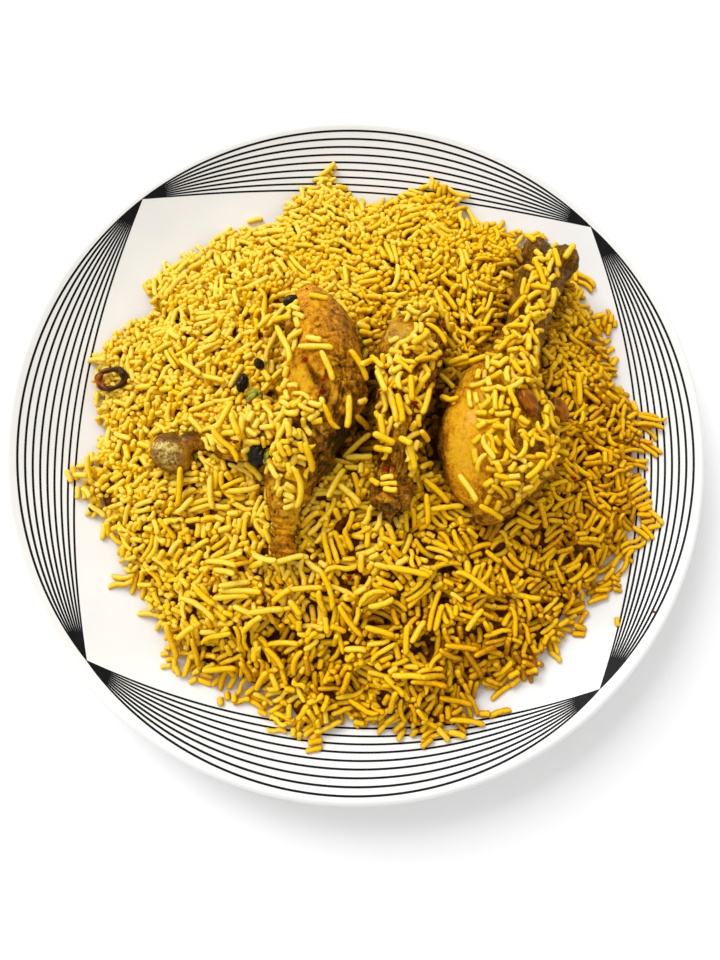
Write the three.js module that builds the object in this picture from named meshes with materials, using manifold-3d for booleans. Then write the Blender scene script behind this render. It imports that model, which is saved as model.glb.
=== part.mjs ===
// A plate of chicken biryani: yellow rice heaped on a white coupe plate, with pieces of chicken,
// raisins, a curl of fried onion and whole spices in it. Millimetres, +Z up. The origin is on the
// table, under the middle of the plate, and +Y points away from the eater.
import * as THREE from "three";
import { mergeVertices } from "three/addons/utils/BufferGeometryUtils.js";
import Module from "manifold-3d";

const wasm = await Module();
wasm.setup();

// The plate: flat well, rising border, round lip, and a foot ring below.
const PLATE_R = 135;
const RIM_Z = 21.5;
const RIM_SLOPE = THREE.MathUtils.degToRad(31);
const WELL_R = 88;
const WALL = 4.4;
const FOOT_R = 76;
const FOOT_W = 7;
const FOOT_H = 2.1;
const FOOT_BEVEL = 1;
const WELL_Z = FOOT_H + WALL;
const RIM_R = PLATE_R - (WALL / 2) * (1 + Math.sin(RIM_SLOPE));
const RISE_POWER = (Math.tan(RIM_SLOPE) * (RIM_R - WELL_R)) / (RIM_Z - WELL_Z);
const PLATE_SIDES = 60;
const RISE_STEPS = 4;
const LIP_STEPS = 3;

// Everything that lies on or in something else keeps this much air to it.
const GAP = 0.4;

// The heap of rice: its middle, reach, height, and the bulges and hollows of its outline, each as
// an angle in degrees, a depth in millimetres and a half width in degrees.
const HEAP_X = 2;
const HEAP_Y = 2;
const HEAP_R = 109.5;
const HEAP_PEAK_Z = 38;
const HEAP_EDGE_Z = 13;
const HEAP_FULLNESS = 2.4;
const HEAP_SHOULDER = 0.85;
const HEAP_RINGS = 23;
// Its flat floor starts at this share of its reach. Its outline rises and falls by EDGE_SPREAD, and
// slow swells run across its top.
const HEAP_FLOOR = 0.74;
const EDGE_SPREAD = 0.4;
const SWELL = { height: 1.2, x: 0.11, xStart: 1, y: 0.13, yStart: 2 };
const HEAP_LOBES = [
  [-19, 6, 7],
  [-2, 4, 9],
  [20, -3, 8],
  [62, -4, 6],
  [71, 3, 5],
  [88, -9, 6],
  [99, 4, 4],
  [116, -10, 8],
  [134, -4, 7],
  [150, -10, 4],
  [180, -7, 4],
  [205, -4, 5],
  [218, -3, 8],
  [232, 3, 6],
  [260, 9, 4],
  [284, 11, 8],
  [305, 2, 6],
];

// One long grain of cooked rice, and how many lie loose on the heap and round its edge.
const GRAIN_L = 9;
const GRAIN_T = 2.4;
const GRAIN_BEND = 0.9;
const GRAIN_SIDES = 5;
const GRAINS_ON_TOP = 28;
const GRAINS_AT_EDGE = 20;
const GRAIN_BUMP = 1.6;
const SEED = 11;

// How loosely grains lie on the heap, round its edge and on a piece of chicken: how far lengths and
// turns differ, in millimetres and radians, and how high a grain's middle is, in thicknesses.
const ON_HEAP = { lengthSpread: 2, tip: 0.25, turnSpread: 0.1, rise: 0.45, cover: 0.94 };
const AT_EDGE = { lengthSpread: 1.5, inset: 1, fan: 0.9, lift: 0.3, liftSpread: 0.3, rise: 1.1 };
const EDGE_STEP = { from: 0.3, spread: 0.4 };
const ON_LIMB = { lengthSpread: 1.5, shorter: 2, from: 0.14, reach: 0.72, rise: 0.2, turn: 1.4 };
const LIMB_ROW = { off: 0.45, spread: 0.15 };

// The chicken. A spine's rows are x, y, z, half width and half height from end to end; a knob is
// a joint or a lump as x, y, z, three half sizes and its turn in degrees.
const LIMB_SIDES = 14;
const LIMB_RINGS = 11;
const LIMB_BLUNTNESS = 6;
const RIPPLE = { depth: 0.35, x: 0.61, y: 0.23, y2: 0.47, z2: 0.52, start: 1.7 };
const LUMPINESS = { depth: 0.07, x: 5, y: 4 };
const CHICKEN = {
  chicken_thigh: {
    spine: [
      [-19.7, 53, 37, 6.5, 6.5],
      [-16.9, 40.5, 39.5, 11.2, 10.5],
      [-13.8, 25.5, 41.5, 13.8, 12.6],
      [-12.6, 8.7, 42, 15.2, 13.2],
      [-16.2, -6.5, 40.5, 14.2, 12],
      [-22.4, -18, 38.8, 10.4, 10],
      [-25, -28.5, 37, 7.6, 7.6],
      [-26.2, -38, 35.4, 4.8, 4.8],
      [-26.8, -46, 34.5, 4, 4],
    ],
    knobs: [
      [-26.6, -45.5, 35, 4.9, 4.4, 4.4, 0],
      [-24.4, -21, 42, 6.6, 7.6, 6, 15],
    ],
    grains: 5,
  },
  chicken_drumstick_left: {
    spine: [
      [-63, -7.5, 31.5, 3.8, 3.8],
      [-55, -6.2, 31.8, 3.9, 3.9],
      [-47, -6.2, 33, 8, 7.4],
      [-36, -4.4, 35, 11, 9],
      [-20, -1, 37, 10, 9],
    ],
    knobs: [
      [-69.5, -9.4, 31.4, 7.4, 8.4, 7.6, 12],
      [-64.3, -6.2, 32, 5, 4.6, 4.8, 0],
    ],
    grains: 3,
  },
  chicken_wing: {
    spine: [
      [28.6, 45.5, 37, 5, 5],
      [24.2, 38.2, 39, 8.3, 7.5],
      [19.1, 27.7, 41, 11.6, 9.6],
      [16.6, 13.8, 43, 11, 10],
      [15.3, -0.9, 43, 9, 9],
      [13.3, -14.9, 41, 7.6, 8],
      [11, -26.7, 38.4, 6.6, 6.8],
      [10.8, -35.1, 36, 4, 4],
    ],
    knobs: [
      [12.8, 27.6, 44.2, 5.8, 6.2, 5, 25],
      [11.2, -27.2, 40, 7.4, 6.4, 6, 0],
    ],
    grains: 6,
  },
  chicken_drumstick_right: {
    spine: [
      [76.4, 72, 29.6, 6, 6],
      [73.8, 64.6, 30.8, 9.2, 7.8],
      [68, 53.1, 33, 8.9, 7.6],
      [62.7, 38.4, 35.5, 7.7, 7.6],
      [56.8, 24.6, 37.5, 9.8, 9.6],
      [51.7, 9.8, 39.5, 16.8, 14],
      [49.4, -7.2, 40.5, 21.8, 16.6],
      [47.7, -21.5, 39.5, 19.2, 15],
      [46.9, -36.5, 37.8, 10, 9],
    ],
    knobs: [
      [69.4, 70.6, 30.6, 5.6, 6.2, 5.6, 0],
      [79.4, 66.8, 30.4, 6.2, 6.8, 6, 0],
    ],
    grains: 9,
  },
};

// Raisins, spice pods and black seeds: x, y, z, three half sizes and a turn in degrees.
const MORSELS = {
  raisin_1: [57.4, 3, 53.6, 3.2, 5.6, 2.7, 24],
  raisin_2: [74.3, 6.2, 33.4, 3.6, 5.2, 3, 20],
  black_cardamom_1: [-34.2, -13.4, 46, 5.2, 4, 3.6, 35],
  black_cardamom_2: [-42.3, 14.3, 38.2, 2.6, 4, 2.6, -10],
  green_cardamom: [-37.6, 8.2, 39.6, 3, 3.4, 2.3, -50],
  clove_1: [-36.4, 21.4, 38.2, 1.9, 2.6, 1.8, 35],
  clove_2: [-24.9, 42.8, 45.6, 3, 2, 1.8, 30],
  peppercorn: [-102.4, -28.2, 12, 1.8, 1.8, 1.8, 0],
};

// The curl of fried onion is a ring bent out of round: x, y, z, its reach, its strand and a tilt.
const CURL = { x: -95.4, y: 21, z: 20.8, long: 5.8, wide: 4, strand: 1.3, tilt: 0.3, twist: 0.5 };
const CURL_TWISTS = 3;

// Grains lying apart on the plate: x, y, heading in degrees and length.
const STRAYS = [
  [97.9, -71.4, 75, 3.6],
  [51.6, -95.1, 12, 6.6],
  [74.6, -84.2, -50, 6],
  [115.4, -31, -58, 9],
];

// Chilli flakes: x and y of those that lie on the rice, and their half sizes.
const FLAKES = [
  [-3.1, -55.3],
  [4.5, -54.2],
  [80.2, -18.6],
  [31, -60],
  [66.2, -62],
  [-60, 44],
];
const FLAKE = [2.1, 1.3, 0.9];
const FLAKE_RISE = 0.4;

// Points closer than this are one point.
const MERGE = 1e-4;

// The finish of each stuff, as three.js materials.
const STUFF = {
  glaze: { color: "#f4f4f2", roughness: 0.12 },
  rice: { color: "#dba918", roughness: 0.5 },
  thigh: { color: "#b9761f", roughness: 0.4 },
  bony: { color: "#a5772a", roughness: 0.45 },
  drumstick: { color: "#d08f24", roughness: 0.38 },
  raisin: { color: "#8a4a12", roughness: 0.3 },
  onion: { color: "#4a1c0c", roughness: 0.4 },
  black_spice: { color: "#17130f", roughness: 0.3 },
  green_spice: { color: "#7d7428", roughness: 0.5 },
};

// Repeatable draws between 0 and 1.
function drawer(seed) {
  let state = seed;
  return () => {
    state = (state * 1664525 + 1013904223) % 4294967296;
    return state / 4294967296;
  };
}
const draw = drawer(SEED);
const spread = (reach) => (draw() * 2 - 1) * reach;

// Geometry helpers: bare merged surfaces, solids made from them, and the way back.
function bare(geometry) {
  geometry.deleteAttribute("normal");
  geometry.deleteAttribute("uv");
  return mergeVertices(geometry, MERGE);
}

function solidOf(geometry) {
  const merged = bare(geometry.clone());
  return new wasm.Manifold(
    new wasm.Mesh({
      numProp: 3,
      vertProperties: merged.attributes.position.array,
      triVerts: new Uint32Array(merged.index.array),
    }),
  );
}

function geometryOf(solid) {
  const mesh = solid.getMesh();
  const geometry = new THREE.BufferGeometry();
  geometry.setAttribute("position", new THREE.BufferAttribute(mesh.vertProperties, 3));
  geometry.setIndex(new THREE.BufferAttribute(mesh.triVerts, 1));
  return geometry;
}

const joined = (solids) => solids.reduce((whole, piece) => whole.add(piece));
const largest = (solid) => solid.decompose().sort((a, b) => b.volume() - a.volume())[0];

// Moves each point of a closed surface by what shift gives for it.
function reshaped(geometry, shift) {
  const points = geometry.attributes.position;
  const p = new THREE.Vector3();
  for (let i = 0; i < points.count; i++) {
    p.fromBufferAttribute(points, i);
    shift(p);
    points.setXYZ(i, p.x, p.y, p.z);
  }
  return geometry;
}

// A surface pushed out all over, which cuts room for the piece in what it lies in.
function grown(geometry, by) {
  const out = bare(geometry.clone());
  out.computeVertexNormals();
  const points = out.attributes.position;
  const normals = out.attributes.normal;
  for (let i = 0; i < points.count; i++) {
    points.setXYZ(
      i,
      points.getX(i) + normals.getX(i) * by,
      points.getY(i) + normals.getY(i) * by,
      points.getZ(i) + normals.getZ(i) * by,
    );
  }
  return out;
}

// Flesh is never smooth: a slow ripple along and across the piece.
function ripple(p) {
  const { depth, x, y, y2, z2, start } = RIPPLE;
  return depth * (Math.sin(p.x * x + p.y * y) + Math.sin(p.y * y2 - p.z * z2 + start));
}

// Plate

function plateTop(r) {
  const climb = Math.max(0, r - WELL_R) / (RIM_R - WELL_R);
  return WELL_Z + (RIM_Z - WELL_Z) * climb ** RISE_POWER;
}

function plateSlope(r) {
  const climb = Math.max(0, r - WELL_R) / (RIM_R - WELL_R);
  return Math.atan(Math.tan(RIM_SLOPE) * climb ** (RISE_POWER - 1));
}

function plateGeometry() {
  const under = [
    new THREE.Vector2(0, FOOT_H),
    new THREE.Vector2(FOOT_R - FOOT_W, FOOT_H),
    new THREE.Vector2(FOOT_R - FOOT_W + FOOT_BEVEL, 0),
    new THREE.Vector2(FOOT_R - FOOT_BEVEL, 0),
    new THREE.Vector2(FOOT_R, FOOT_H),
  ];
  const top = [];
  for (let i = 0; i <= RISE_STEPS; i++) {
    const r = THREE.MathUtils.lerp(WELL_R, RIM_R, i / RISE_STEPS);
    const slope = plateSlope(r);
    under.push(new THREE.Vector2(r + WALL * Math.sin(slope), plateTop(r) - WALL * Math.cos(slope)));
    top.unshift(new THREE.Vector2(r, plateTop(r)));
  }
  const lip = [];
  const lipX = RIM_R + (WALL / 2) * Math.sin(RIM_SLOPE);
  const lipZ = RIM_Z - (WALL / 2) * Math.cos(RIM_SLOPE);
  for (let i = 1; i < LIP_STEPS; i++) {
    const turn = RIM_SLOPE - Math.PI / 2 + (Math.PI * i) / LIP_STEPS;
    lip.push(new THREE.Vector2(lipX + (WALL / 2) * Math.cos(turn), lipZ + (WALL / 2) * Math.sin(turn)));
  }
  const outline = [...under, ...lip, ...top, new THREE.Vector2(0, WELL_Z)];
  return new THREE.LatheGeometry(outline, PLATE_SIDES).rotateX(Math.PI / 2);
}

// Rice

function heapReach(angle) {
  const degrees = THREE.MathUtils.radToDeg(angle);
  let reach = HEAP_R;
  for (const [at, depth, width] of HEAP_LOBES) {
    const away = THREE.MathUtils.euclideanModulo(degrees - at + 180, 360) - 180;
    reach += depth * Math.exp(-((away / width) ** 2));
  }
  return reach;
}

// The heap's height. Its bulges and hollows fade towards the middle.
function heapTop(x, y) {
  const dx = x - HEAP_X;
  const dy = y - HEAP_Y;
  const reach = heapReach(Math.atan2(dy, dx));
  const share = Math.min(1, Math.hypot(dx, dy) / reach);
  const out = share * (1 + (reach / HEAP_R - 1) * (1 - share ** 2));
  const wave = Math.sin(x * SWELL.x + SWELL.xStart) * Math.sin(y * SWELL.y + SWELL.yStart);
  const swell = wave * SWELL.height * (1 - out);
  const dome = (1 - out ** HEAP_FULLNESS) ** HEAP_SHOULDER;
  return HEAP_EDGE_Z + (HEAP_PEAK_Z - HEAP_EDGE_Z) * dome + swell;
}

const edgeTop = (x, y) => plateTop(Math.hypot(x, y)) + GRAIN_T + spread(EDGE_SPREAD);

// The heap's core is a disc of rings with six more points in each ring than in the last, as even
// as a honeycomb. Its top has bumps of a grain's size, and its underside follows the plate.
function heapCore() {
  const points = [];
  const faces = [];
  const onTop = (ring, i) => (ring === 0 ? 0 : 1 + 3 * ring * (ring - 1) + (i % (6 * ring)));
  const rim = 6 * HEAP_RINGS;
  for (let ring = 0; ring <= HEAP_RINGS; ring++) {
    for (let i = 0; i < Math.max(1, 6 * ring); i++) {
      const angle = ring === 0 ? 0 : (Math.PI * 2 * i) / (6 * ring);
      const r = (heapReach(angle) * ring) / HEAP_RINGS;
      const x = HEAP_X + r * Math.cos(angle);
      const y = HEAP_Y + r * Math.sin(angle);
      const edge = ring === HEAP_RINGS;
      points.push([x, y, edge ? edgeTop(x, y) : heapTop(x, y) + spread(GRAIN_BUMP)]);
    }
  }
  for (let ring = 1; ring <= HEAP_RINGS; ring++) {
    for (let sector = 0; sector < 6; sector++) {
      for (let i = 0; i < ring; i++) {
        const outer = sector * ring + i;
        const inner = sector * (ring - 1) + i;
        faces.push([onTop(ring, outer), onTop(ring, outer + 1), onTop(ring - 1, inner)]);
        if (i < ring - 1) {
          faces.push([onTop(ring - 1, inner), onTop(ring, outer + 1), onTop(ring - 1, inner + 1)]);
        }
      }
    }
  }
  const skirt = points.length;
  for (const share of [1, HEAP_FLOOR]) {
    for (let i = 0; i < rim; i++) {
      const angle = (Math.PI * 2 * i) / rim;
      const r = heapReach(angle) * share - GRAIN_T / 2;
      const x = HEAP_X + r * Math.cos(angle);
      const y = HEAP_Y + r * Math.sin(angle);
      points.push([x, y, plateTop(Math.hypot(x, y)) + GAP]);
    }
  }
  const middle = points.push([HEAP_X, HEAP_Y, WELL_Z + GAP]) - 1;
  for (let i = 0; i < rim; i++) {
    const next = (i + 1) % rim;
    const floor = skirt + rim;
    faces.push([onTop(HEAP_RINGS, i), skirt + i, onTop(HEAP_RINGS, next)]);
    faces.push([onTop(HEAP_RINGS, next), skirt + i, skirt + next]);
    faces.push([skirt + i, floor + i, skirt + next]);
    faces.push([skirt + next, floor + i, floor + next]);
    faces.push([floor + i, middle, floor + next]);
  }
  const geometry = new THREE.BufferGeometry();
  geometry.setAttribute("position", new THREE.Float32BufferAttribute(points.flat(), 3));
  geometry.setIndex(faces.flat());
  return geometry;
}

function grain(length, place, along, up) {
  const capsule = new THREE.CapsuleGeometry(GRAIN_T / 2, length - GRAIN_T, 1, GRAIN_SIDES, 2);
  reshaped(capsule, (p) => {
    p.x += GRAIN_BEND * (1 - (p.y / (length / 2)) ** 2) - GRAIN_BEND / 2;
  });
  const y = along.clone().normalize();
  const z = new THREE.Vector3().crossVectors(y, up).normalize();
  const x = new THREE.Vector3().crossVectors(y, z);
  return capsule.applyMatrix4(new THREE.Matrix4().makeBasis(x, y, z).setPosition(place));
}

// A grain on the heap, turned at random, half sunk, and tipped with the slope it lies on.
function grainOnHeap(x, y, heading) {
  const length = GRAIN_L + spread(ON_HEAP.lengthSpread);
  const reach = length / 3;
  const dx = Math.cos(heading);
  const dy = Math.sin(heading);
  const climb = heapTop(x + dx * reach, y + dy * reach) - heapTop(x - dx * reach, y - dy * reach);
  const along = new THREE.Vector3(dx, dy, climb / (2 * reach) + spread(ON_HEAP.tip));
  const place = new THREE.Vector3(x, y, heapTop(x, y) + GRAIN_T * ON_HEAP.rise);
  return grain(length, place, along, new THREE.Vector3(0, 0, 1));
}

// Grains on top lie on a sunflower's spiral, so that they are spread evenly over the heap.
function grainsOnTop() {
  const turn = Math.PI * (3 - Math.sqrt(5));
  return Array.from({ length: GRAINS_ON_TOP }, (unused, i) => {
    const angle = i * turn + spread(ON_HEAP.turnSpread);
    const r = heapReach(angle) * Math.sqrt((i + 0.5) / GRAINS_ON_TOP) * ON_HEAP.cover;
    const x = HEAP_X + r * Math.cos(angle);
    const y = HEAP_Y + r * Math.sin(angle);
    return grainOnHeap(x, y, spread(Math.PI));
  });
}

// Grains at the edge poke out over the plate, a little above its border.
function grainsAtEdge() {
  return Array.from({ length: GRAINS_AT_EDGE }, (unused, i) => {
    const step = i + EDGE_STEP.from + draw() * EDGE_STEP.spread;
    const angle = (Math.PI * 2 * step) / GRAINS_AT_EDGE;
    const r = heapReach(angle) - AT_EDGE.inset;
    const x = HEAP_X + r * Math.cos(angle);
    const y = HEAP_Y + r * Math.sin(angle);
    const heading = angle + spread(AT_EDGE.fan);
    const lift = AT_EDGE.lift + draw() * AT_EDGE.liftSpread;
    const away = new THREE.Vector3(Math.cos(heading), Math.sin(heading), lift);
    const z = plateTop(Math.hypot(x, y)) + GRAIN_T * AT_EDGE.rise + GAP;
    const length = GRAIN_L + spread(AT_EDGE.lengthSpread);
    return grain(length, new THREE.Vector3(x, y, z), away, new THREE.Vector3(0, 0, 1));
  });
}

function flake(x, y, z, turn) {
  return new THREE.IcosahedronGeometry(1, 0)
    .scale(...FLAKE)
    .rotateZ(turn)
    .translate(x, y, z);
}

function grainAlone(x, y, heading, length) {
  const r = Math.hypot(x, y);
  const slope = plateSlope(r);
  const up = new THREE.Vector3((-x / r) * Math.sin(slope), (-y / r) * Math.sin(slope), Math.cos(slope));
  const turn = THREE.MathUtils.degToRad(heading);
  const along = new THREE.Vector3(Math.cos(turn), Math.sin(turn), 0).projectOnPlane(up);
  const height = GRAIN_T / 2 + GAP + GRAIN_BEND / 2;
  const place = new THREE.Vector3(x, y, plateTop(r)).addScaledVector(up, height);
  return grain(length, place, along, up);
}

// Chicken

// Where a limb's surface is: part of the way along its spine, and at an angle round it.
function limbPoint(path, girth, share, angle) {
  const along = path.getTangent(share).negate();
  const side = new THREE.Vector3().crossVectors(along, new THREE.Vector3(0, 0, 1)).normalize();
  const up = new THREE.Vector3().crossVectors(side, along);
  const size = girth.getPoint(share);
  const round = Math.sqrt(Math.max(0, 1 - Math.abs(2 * share - 1) ** LIMB_BLUNTNESS));
  return path
    .getPoint(share)
    .addScaledVector(side, Math.cos(angle) * size.x * round)
    .addScaledVector(up, Math.sin(angle) * size.y * round);
}

function limbCurves(spine) {
  const path = new THREE.CatmullRomCurve3(spine.map(([x, y, z]) => new THREE.Vector3(x, y, z)));
  const girth = new THREE.CatmullRomCurve3(
    spine.map(([x, y, z, wide, high]) => new THREE.Vector3(wide, high, 0)),
  );
  path.curveType = "catmullrom";
  girth.curveType = "catmullrom";
  return [path, girth];
}

// A limb is a ball drawn out along its spine, so that both of its ends are closed and round.
function limb(spine) {
  const [path, girth] = limbCurves(spine);
  const ball = new THREE.SphereGeometry(1, LIMB_SIDES, LIMB_RINGS);
  return reshaped(ball, (p) => {
    const share = THREE.MathUtils.clamp((1 - p.y) / 2, 0, 1);
    const angle = Math.atan2(p.z, p.x);
    const at = limbPoint(path, girth, share, angle);
    const bump = share > 0 && share < 1 ? ripple(at) : 0;
    p.copy(at).addScaledVector(at.clone().sub(path.getPoint(share)).normalize(), bump);
  });
}

function lump([x, y, z, rx, ry, rz, turn], detail) {
  const ball = new THREE.IcosahedronGeometry(1, detail);
  reshaped(ball, (p) => {
    const wave = Math.sin(p.x * LUMPINESS.x + x) * Math.sin(p.y * LUMPINESS.y + y);
    p.multiplyScalar(1 + LUMPINESS.depth * wave);
  });
  return ball.scale(rx, ry, rz).rotateZ(THREE.MathUtils.degToRad(turn)).translate(x, y, z);
}

// Grains that cling to the top of a piece of chicken, spread along it in two staggered rows.
function grainsOnLimb(spine, count) {
  const [path, girth] = limbCurves(spine);
  return Array.from({ length: count }, (unused, i) => {
    const share = ON_LIMB.from + (ON_LIMB.reach * (i + 0.5)) / count;
    const off = i % 2 ? LIMB_ROW.off : -LIMB_ROW.off;
    const angle = Math.PI / 2 + off + spread(LIMB_ROW.spread);
    const at = limbPoint(path, girth, share, angle);
    const up = at.clone().sub(path.getPoint(share)).normalize();
    const along = path.getTangent(share).applyAxisAngle(up, spread(ON_LIMB.turn));
    const length = GRAIN_L - ON_LIMB.shorter + spread(ON_LIMB.lengthSpread);
    return grain(length, at.addScaledVector(up, GRAIN_T * ON_LIMB.rise), along, up);
  });
}

const chickenShapes = ({ spine, knobs }) => [limb(spine), ...knobs.map((knob) => lump(knob, 1))];

function onionCurl() {
  const { x, y, z, long, wide, strand, tilt, twist } = CURL;
  const ring = new THREE.TorusGeometry(1, strand / long, 5, 12);
  reshaped(ring, (p) => {
    p.set(p.x * long, p.y * wide, p.z * long + twist * Math.sin(p.x * CURL_TWISTS));
  });
  return ring.rotateY(-tilt).translate(x, y, z);
}

// Pieces in the order in which they give way: each is cut clear of those before it.
const pieces = [];
function place(name, stuff, shapes, extras = []) {
  let solid = joined([...shapes, ...extras].map(solidOf));
  for (const earlier of pieces) solid = solid.subtract(earlier.room);
  pieces.push({
    name,
    stuff,
    solid: largest(solid),
    room: joined([...shapes, ...extras].map((shape) => solidOf(grown(shape, GAP)))),
  });
}

const CHICKEN_STUFF = {
  chicken_thigh: "thigh",
  chicken_drumstick_right: "drumstick",
  chicken_wing: "bony",
  chicken_drumstick_left: "thigh",
};
for (const [name, stuff] of Object.entries(CHICKEN_STUFF)) {
  const piece = CHICKEN[name];
  place(name, stuff, chickenShapes(piece), grainsOnLimb(piece.spine, piece.grains));
}

const MORSEL_STUFF = { raisin: "raisin", green: "green_spice" };
for (const [name, sizes] of Object.entries(MORSELS)) {
  place(name, MORSEL_STUFF[name.split("_")[0]] ?? "black_spice", [lump(sizes, 1)]);
}
place("onion_curl", "onion", [onionCurl()]);
STRAYS.forEach(([x, y, heading, length], i) => {
  place("loose_grain_" + (i + 1), "rice", [grainAlone(x, y, heading, length)]);
});

const flakes = FLAKES.map(([x, y]) => flake(x, y, heapTop(x, y) + FLAKE_RISE, spread(Math.PI)));
place("rice_heap", "rice", [heapCore(), ...grainsOnTop(), ...grainsAtEdge(), ...flakes]);

// The plate of food

const materials = {};
for (const [name, finish] of Object.entries(STUFF)) {
  materials[name] = new THREE.MeshStandardMaterial({ name, metalness: 0, ...finish });
}

const biryani = new THREE.Group();
const plate = new THREE.Mesh(plateGeometry(), materials.glaze);
plate.name = "plate";
biryani.add(plate);
const food = new THREE.Group();
for (const { name, stuff, solid } of pieces) {
  const mesh = new THREE.Mesh(geometryOf(solid), materials[stuff]);
  mesh.name = name;
  food.add(mesh);
}
biryani.add(food);

export default biryani;
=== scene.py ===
import itertools
import math

import bpy
import numpy as np
from mathutils import Matrix, Vector
from mathutils.bvhtree import BVHTree


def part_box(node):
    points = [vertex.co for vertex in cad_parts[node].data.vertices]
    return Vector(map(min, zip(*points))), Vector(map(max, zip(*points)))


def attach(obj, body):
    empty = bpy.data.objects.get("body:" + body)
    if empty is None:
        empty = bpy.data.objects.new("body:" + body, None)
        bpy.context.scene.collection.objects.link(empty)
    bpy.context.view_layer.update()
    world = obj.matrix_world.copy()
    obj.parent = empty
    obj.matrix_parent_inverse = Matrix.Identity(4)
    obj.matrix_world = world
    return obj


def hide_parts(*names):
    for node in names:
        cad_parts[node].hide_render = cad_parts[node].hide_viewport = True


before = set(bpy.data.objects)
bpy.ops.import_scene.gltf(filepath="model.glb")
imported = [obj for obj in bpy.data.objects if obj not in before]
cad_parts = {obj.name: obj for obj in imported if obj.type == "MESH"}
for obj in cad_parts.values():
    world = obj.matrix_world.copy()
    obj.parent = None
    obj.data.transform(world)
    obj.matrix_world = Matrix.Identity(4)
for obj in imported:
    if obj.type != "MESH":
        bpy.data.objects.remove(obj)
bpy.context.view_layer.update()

# The plate: a round coupe plate of white porcelain, with a flat well, a border that rises to a
# round lip, and a foot ring below. It is pressed and turned in one piece, then glazed and fired.
MM = 0.001
PLATE_R = round(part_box("plate")[1].x / MM, 1)
RIM_Z = 21.5
RIM_SLOPE = math.radians(31)
WELL_R = 88
WALL = 4.4
FOOT_R = 76
FOOT_W = 7
FOOT_H = 2.1
WELL_Z = FOOT_H + WALL
RIM_R = PLATE_R - WALL / 2 * (1 + math.sin(RIM_SLOPE))
RISE_POWER = math.tan(RIM_SLOPE) * (RIM_R - WELL_R) / (RIM_Z - WELL_Z)
PLATE_SIDES = 256
RISE_STEPS = 26
LIP_STEPS = 10
FOOT_STEPS = 12
FOOT_ROUNDING = 6


def plate_top(r):
    """The height of the plate's upper face at a distance from its middle."""
    climb = np.maximum(0, np.asarray(r) - WELL_R) / (RIM_R - WELL_R)
    return WELL_Z + (RIM_Z - WELL_Z) * climb**RISE_POWER


def plate_slope(r):
    """How steeply the upper face climbs there, in radians."""
    climb = np.maximum(0, np.asarray(r) - WELL_R) / (RIM_R - WELL_R)
    return np.arctan(math.tan(RIM_SLOPE) * climb ** (RISE_POWER - 1))


def linear(code):
    """An sRGB hex colour as linear red, green and blue, with an alpha of 1."""
    parts = [int(code[i : i + 2], 16) / 255 for i in (1, 3, 5)]
    return [*(c / 12.92 if c < 0.04045 else ((c + 0.055) / 1.055) ** 2.4 for c in parts), 1]


def add(tree, kind, links=(), stops=(), **settings):
    """Adds a node. A link's value is a node or socket to read, or a number or colour to set."""
    made = tree.nodes.new(kind)
    for name, value in settings.items():
        setattr(made, name, value)
    for name, value in dict(links).items():
        if isinstance(value, bpy.types.Node):
            value = value.outputs[0]
        if isinstance(value, bpy.types.NodeSocket):
            tree.links.new(value, made.inputs[name])
        else:
            made.inputs[name].default_value = value
    for k, (at, code) in enumerate(stops):
        ramp = made.color_ramp.elements
        stop = ramp[k] if k < 2 else ramp.new(at)
        stop.position, stop.color = at, linear(code)
    return made


def finish_of(name):
    """A new material, its tree, and the coordinates that its patterns are laid out by."""
    made = bpy.data.materials.new(name)
    made.use_nodes = True
    made.node_tree.nodes.clear()
    return made, made.node_tree, add(made.node_tree, "ShaderNodeTexCoord").outputs["Object"]


def mesh_of(name, points, faces):
    """A smooth mesh from points in millimetres, with its faces turned to point outwards."""
    points = np.asarray(points, float)
    first, second, third = (points[[f[k] for f in faces]] for k in range(3))
    last = points[[f[-1] for f in faces]]
    volume = (np.cross(first, second) * third).sum() + (np.cross(first, third) * last).sum()
    if volume < 0:
        faces = [tuple(f)[::-1] for f in faces]
    made = bpy.data.meshes.new(name)
    made.from_pydata((points * MM).tolist(), [], [tuple(map(int, f)) for f in faces])
    made.shade_smooth()
    return made


def piece(name, mesh, material, replaces=()):
    """Shows a mesh as a piece of the dish, in place of CAD nodes where it stands for some."""
    made = bpy.data.objects.new(name, mesh)
    bpy.context.scene.collection.objects.link(made)
    mesh.materials.clear()
    mesh.materials.append(material)
    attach(made, "root")
    if replaces:
        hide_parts(*replaces)
    return made


def turned(outline, sides):
    """Points and faces of an outline turned about the Z axis. It starts and ends on the axis."""
    points, faces = [], []
    angles = np.arange(sides) * 2 * math.pi / sides
    for r, z in outline[1:-1]:
        points += [(r * math.cos(a), r * math.sin(a), z) for a in angles]
    rings = len(outline) - 2
    for i, k in itertools.product(range(rings - 1), range(sides)):
        a, b = i * sides + k, i * sides + (k + 1) % sides
        faces.append((a, b, b + sides, a + sides))
    for end, ring in ((0, 0), (-1, rings - 1)):
        pole = len(points)
        points.append((0, 0, outline[end][1]))
        for k in range(sides):
            a, b = ring * sides + k, ring * sides + (k + 1) % sides
            faces.append((b, a, pole) if ring == 0 else (a, b, pole))
    return points, faces


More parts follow.
